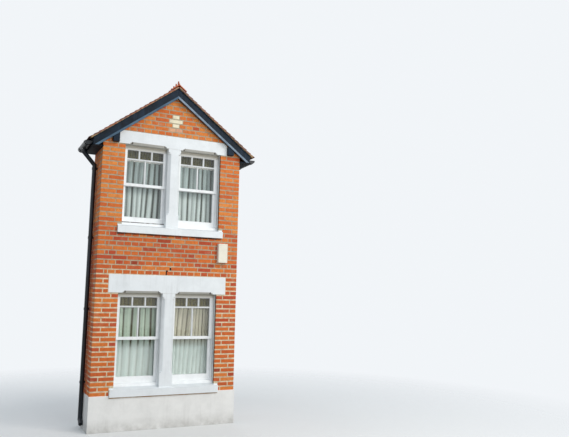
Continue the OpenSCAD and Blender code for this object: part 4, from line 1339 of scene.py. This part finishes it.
class BAY_OT_tiles(bpy.types.Operator):
    """Courses of plain clay tiles on both slopes, and the mortar that beds them at the verge"""
    bl_idname = "bay.tiles"
    bl_label = "Roof tiles"

    def execute(self, context):
        s = settings("roof")
        clay = tile_finish("weathered_tile", s.brown, s.pink, s.orange)
        bedding = Finish("verge_mortar", Roughness=0.93)
        bedding.feed(Base_Color=bedding.mottled(s.bedding, paint("9C7A54"), scale=20.0, amount=0.7, speckle=0.15),
                     Normal=bedding.relief(coarse=(70.0, 0.003), fine=(500.0, 0.001)))
        for node, name, side in (("left_tiles", "left_slope_tiles", -1), ("right_tiles", "right_slope_tiles", 1)):
            points, tones = self.courses(s, side)
            piece = shown(name, tubes(name, points, tones), clay)
            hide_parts(node)
            points = self.verge(side)
            shown(name.replace("slope_tiles", "verge_bedding"), tubes(name + "_bed", points), bedding.material)
        return {"FINISHED"}

    @staticmethod
    def courses(s, side):
        """Tiles of one slope: course k starts k gauges up, every second course with a tile and a half at the verge.

        A tile falls by about its own thickness for each gauge. It is raised by the camber times one minus the
        square of the place across it, which goes from minus one to one, and never by more than the camber.
        """
        draw, tiles = chance(70 + side), []
        for course in range(int((REACH - RIDGE_ROOM) / s.gauge)):
            edges = [VERGE_Y, VERGE_Y + (s.tile_width * 1.5 if course % 2 else s.tile_width)]
            while edges[-1] < BACK_Y - TILE_SLIVER:
                edges.append(min(edges[-1] + s.tile_width, BACK_Y))
            tiles += [(course * s.gauge, low, high - low) for low, high in zip(edges, edges[1:])]
        start, place, wide = np.array(tiles).T
        count = len(start)
        start = start + draw.uniform(0, TILE_STRAY[0], count)
        points, up, out = slope_points(start, place + TILE_GAP / 2, np.full(count, COVER - s.thickness - s.camber),
                                       np.minimum(s.tile_length, REACH - start), wide - TILE_GAP,
                                       np.full(count, s.thickness), side, TILE_ARRIS, rows=8, side_points=4,
                                       relief=TILE_RELIEF, seed=71 + side)
        across = (points[..., 1] - (place + wide / 2)[:, None, None]) / (wide[:, None, None] / 2)
        up_tile = (points - EAVES * [side, 1, 1]) @ up - start[:, None, None]
        lift = s.camber * (1 - across ** 2) - s.thickness * TILE_FALL * up_tile / s.gauge
        lift += draw.normal(0, TILE_STRAY[1], count)[:, None, None]
        points = points + np.minimum(lift, s.camber)[..., None] * out
        points[..., 1] = np.clip(points[..., 1], VERGE_Y, BACK_Y)
        newer = 0.25 * (place < VERGE_Y + TILE_SLIVER)
        tone = np.clip(draw.beta(2.0, 2.4, count) + newer, 0, 1)
        return points, np.stack([tone, 0 * tone, 0 * tone], -1)

    @staticmethod
    def verge(side):
        """Mortar under the verge tiles, in one uneven strip up the slope."""
        points, _, _ = slope_points([BED_FOOT], [VERGE_Y + BED_BACK], [0.0], [REACH - BED_SHORT], [BED_WIDE],
                                    [COVER - BED_UNDER], side, rounding=0.004, rows=90, relief=0.0016, seed=77)
        return points


class BAY_OT_ridge(bpy.types.Operator):
    """Clay of the crested ridge tiles"""
    bl_idname = "bay.ridge"
    bl_label = "Ridge tiles"

    def execute(self, context):
        s = settings("roof")
        clay = Finish("ridge_clay", Roughness=0.82)
        clay.feed(Base_Color=clay.mottled(s.ridge, s.brown, scale=9.0, amount=0.6, speckle=0.12),
                  Normal=clay.relief(coarse=(40.0, 0.0015), fine=(600.0, 0.0005)))
        dressed(clay.material, "ridge_tiles", bevel=0.003)
        return {"FINISHED"}


class BAY_OT_roof_timber(bpy.types.Operator):
    """Rafters, plates, ridge board and the separate boards under the tiles"""
    bl_idname = "bay.roof_timber"
    bl_label = "Roof timber"

    def execute(self, context):
        s = settings("trim")
        dressed(timber_finish("rafter_timber", s.timber, (6.0, 45.0, 6.0)), "rafters", bevel=0.002)
        along_y = timber_finish("plate_timber", s.timber, (45.0, 2.0, 45.0))
        dressed(along_y, "wall_plates", "ridge_board", bevel=0.002)
        low, high = LOW["roof_boards"], HIGH["roof_boards"]
        reach, skip = high.x / math.cos(PITCH), (EAVES_X - high.x) / math.cos(PITCH)
        count = round(reach / ROOF_BOARD)
        width = reach / count
        thick = (BOARDS_TOP - RAFTER_TOP) * math.cos(PITCH)
        both = []
        for side in (-1, 1):
            start = skip + np.arange(count) * width + ROOF_GAP / 2
            points, _, _ = slope_points(start, np.full(count, low.y), np.full(count, -thick),
                                        np.full(count, width - ROOF_GAP), np.full(count, high.y - low.y),
                                        np.full(count, thick), side, 0.0015, rows=4, side_points=6, relief=0.0004,
                                        seed=90 + side)
            points[..., 1] = np.clip(points[..., 1], low.y, high.y)
            both.append(points)
        piece = shown("roof_boarding", tubes("roof_boarding", np.concatenate(both)), along_y)
        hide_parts("roof_boards")
        return {"FINISHED"}


# Trim

class BAY_OT_trim(bpy.types.Operator):
    """Paint of the barge boards, eaves, gutters and rain pipe, and the cover of the alarm box"""
    bl_idname = "bay.trim"
    bl_label = "Boards, gutters and box"

    def execute(self, context):
        s = settings("trim")
        boards = Finish("board_paint", Roughness=0.6, Specular_IOR_Level=0.25)
        tree = boards.tree
        fore = figure(tree, "LESS_THAN", boards.part(1), BARGE_FRONT - 0.001)
        right = figure(tree, "GREATER_THAN", boards.part(0))
        # Right moulding paler than the left: a painted highlight
        shade = mixed(tree, fore, s.board, mixed(tree, right, s.moulding, s.moulding_right_highlight))
        base = boards.mottled(shade, paint("1D3246"), scale=5.0, amount=0.6, speckle=0.05)
        boards.feed(Base_Color=boards.streaked(base, paint("3A5268"), 0.35),
                    Normal=boards.relief(coarse=(30.0, 0.0008), fine=(500.0, 0.0002)))
        dressed(boards.material, "left_barge_board", "right_barge_board", "barge_blocks", "eaves_boards",
                bevel=0.0025)
        iron = gloss_paint("iron_paint", s.iron, 0.34, second=paint("2A3440"), dust=0.2)
        dressed(iron, "gutters", "rain_pipe")
        plastic = gloss_paint("box_cover", s.box, 0.42, dust=0.12)
        dressed(plastic, "alarm_box", bevel=0.005)
        return {"FINISHED"}


# Stage

# Each lamp's name, power, size, place and tint, and whether it shows in the panes
LAMPS = (("key_lamp", 350, 3.0, (5.5, -8.0, 9.0), (1.0, 0.96, 0.90), True),
         ("fill_lamp", 465, 5.0, (2.2, -11.2, 3.8), (1.0, 0.98, 0.95), False),
         ("back_lamp", 120, 6.0, (2.0, 9.0, 7.0), (1.0, 1.0, 1.0), True))

# Colour and strength of the surround, as light and as it is seen
SURROUND_LIGHT = ((0.82, 0.90, 1.0), 0.72)
SURROUND_SEEN = ((0.92, 0.95, 0.98), 0.96)


class BAY_OT_stage(bpy.types.Operator):
    """Pale floor, soft lamps and the camera"""
    bl_idname = "bay.stage"
    bl_label = "Stage"

    def execute(self, context):
        s = settings("stage")
        self.floor(s)
        self.world()
        for lamp in LAMPS:
            self.lamp(*lamp)
        self.camera(s)
        context.scene.view_settings.view_transform = "Standard"
        return {"FINISHED"}

    @staticmethod
    def floor(s):
        """A round level floor: pale to the camera, fading into the surround, and darker as a giver of light."""
        made = Finish("stage_floor", Roughness=0.9)
        tree = made.tree
        seen = add(tree, "LightPath").outputs["Is Camera Ray"]
        away = add(tree, "VectorMath", {0: made.place}, operation="LENGTH").outputs["Value"]
        fade = product(tree, seen, spread(tree, away, 3.0, 9.0))
        made.feed(Base_Color=mixed(tree, seen, s.ground, s.floor), Alpha=figure(tree, "SUBTRACT", 1.0, fade))
        radius, sides = 30, 64
        turn = np.linspace(0, 2 * math.pi, sides, endpoint=False)
        rim = np.stack([radius * np.cos(turn), radius * np.sin(turn), 0 * turn], -1)
        mesh = filled("stage_floor", rim, np.array([0]), np.arange(sides))
        mesh.materials.append(made.material)
        floor = bpy.data.objects.new("stage_floor", mesh)
        bpy.context.scene.collection.objects.link(floor)

    @staticmethod
    def world():
        """A pale surround: white to the camera and in reflections, dimmer and bluer as light."""
        world = bpy.data.worlds.new("pale_surround")
        bpy.context.scene.world = world
        world.use_nodes = True
        tree = world.node_tree
        path = add(tree, "LightPath").outputs
        seen = figure(tree, "MAXIMUM", path["Is Camera Ray"],
                      figure(tree, "MAXIMUM", path["Is Glossy Ray"], path["Is Transmission Ray"]))
        back = tree.nodes["Background"]
        (light, low), (pale, high) = SURROUND_LIGHT, SURROUND_SEEN
        tree.links.new(mixed(tree, seen, light, pale), back.inputs["Color"])
        tree.links.new(spread(tree, seen, 0.0, 1.0, low, high), back.inputs["Strength"])

    @staticmethod
    def lamp(name, power, size, place, tint, mirrored):
        """A square soft lamp that points at the middle of the part. One that isn't mirrored leaves the panes clear."""
        data = bpy.data.lights.new(name, "AREA")
        data.energy = power
        data.size = size
        data.color = tint
        lamp = bpy.data.objects.new(name, data)
        lamp.location = place
        lamp.visible_glossy = lamp.visible_transmission = mirrored
        aim = (CAD_BOX[0] + CAD_BOX[1]) / 2 - Vector(place)
        lamp.rotation_euler = aim.to_track_quat("-Z", "Y").to_euler()
        bpy.context.scene.collection.objects.link(lamp)

    @staticmethod
    def camera(s):
        """The camera, turned from +Y to the right, tilted up and rolled."""
        data = bpy.data.cameras.new("camera")
        data.lens = s.lens
        data.sensor_width = 36.0
        data.dof.use_dof = False
        camera = bpy.data.objects.new("camera", data)
        level = Matrix.Rotation(math.pi / 2 + s.tilt, 3, "X")
        turned = Matrix.Rotation(-s.turn, 3, "Z") @ level @ Matrix.Rotation(s.roll, 3, "Z")
        camera.matrix_world = Matrix.Translation(s.eye) @ turned.to_4x4()
        bpy.context.scene.collection.objects.link(camera)
        bpy.context.scene.camera = camera


class BAY_PT_panel(bpy.types.Panel):
    """Lists the makers of the bay's pieces and their settings"""
    bl_idname = "BAY_PT_panel"
    bl_label = "Bay window"
    bl_space_type = "VIEW_3D"
    bl_region_type = "UI"
    bl_category = "Bay window"

    def draw(self, context):
        for maker in OPERATORS:
            self.layout.operator(maker.bl_idname)
        for name, group in SETTINGS.items():
            box = self.layout.box()
            box.label(text=group.__doc__)
            for key in group.__annotations__:
                box.prop(settings(name), key)


SETTINGS = {"brick": BrickSettings, "stone": StoneSettings, "joinery": JoinerySettings, "cloth": ClothSettings,
            "roof": RoofSettings, "trim": TrimSettings, "stage": StageSettings}
OPERATORS = (BAY_OT_brickwork, BAY_OT_stonework, BAY_OT_joinery, BAY_OT_glass, BAY_OT_curtains, BAY_OT_inside,
             BAY_OT_tiles, BAY_OT_ridge, BAY_OT_roof_timber, BAY_OT_trim, BAY_OT_stage)


def register():
    """Registers the settings, the makers and the panel."""
    for group in (*SETTINGS.values(), *OPERATORS, BAY_PT_panel):
        bpy.utils.register_class(group)
    for name, group in SETTINGS.items():
        setattr(bpy.types.Scene, "bay_" + name, bpy.props.PointerProperty(type=group))


def unregister():
    """Takes back what register made."""
    for name in SETTINGS:
        delattr(bpy.types.Scene, "bay_" + name)
    for group in reversed((*SETTINGS.values(), *OPERATORS, BAY_PT_panel)):
        bpy.utils.unregister_class(group)


def main():
    register()
    for maker in OPERATORS:
        kind, name = maker.bl_idname.split(".")
        getattr(getattr(bpy.ops, kind), name)()


if __name__ == "__main__":
    main()
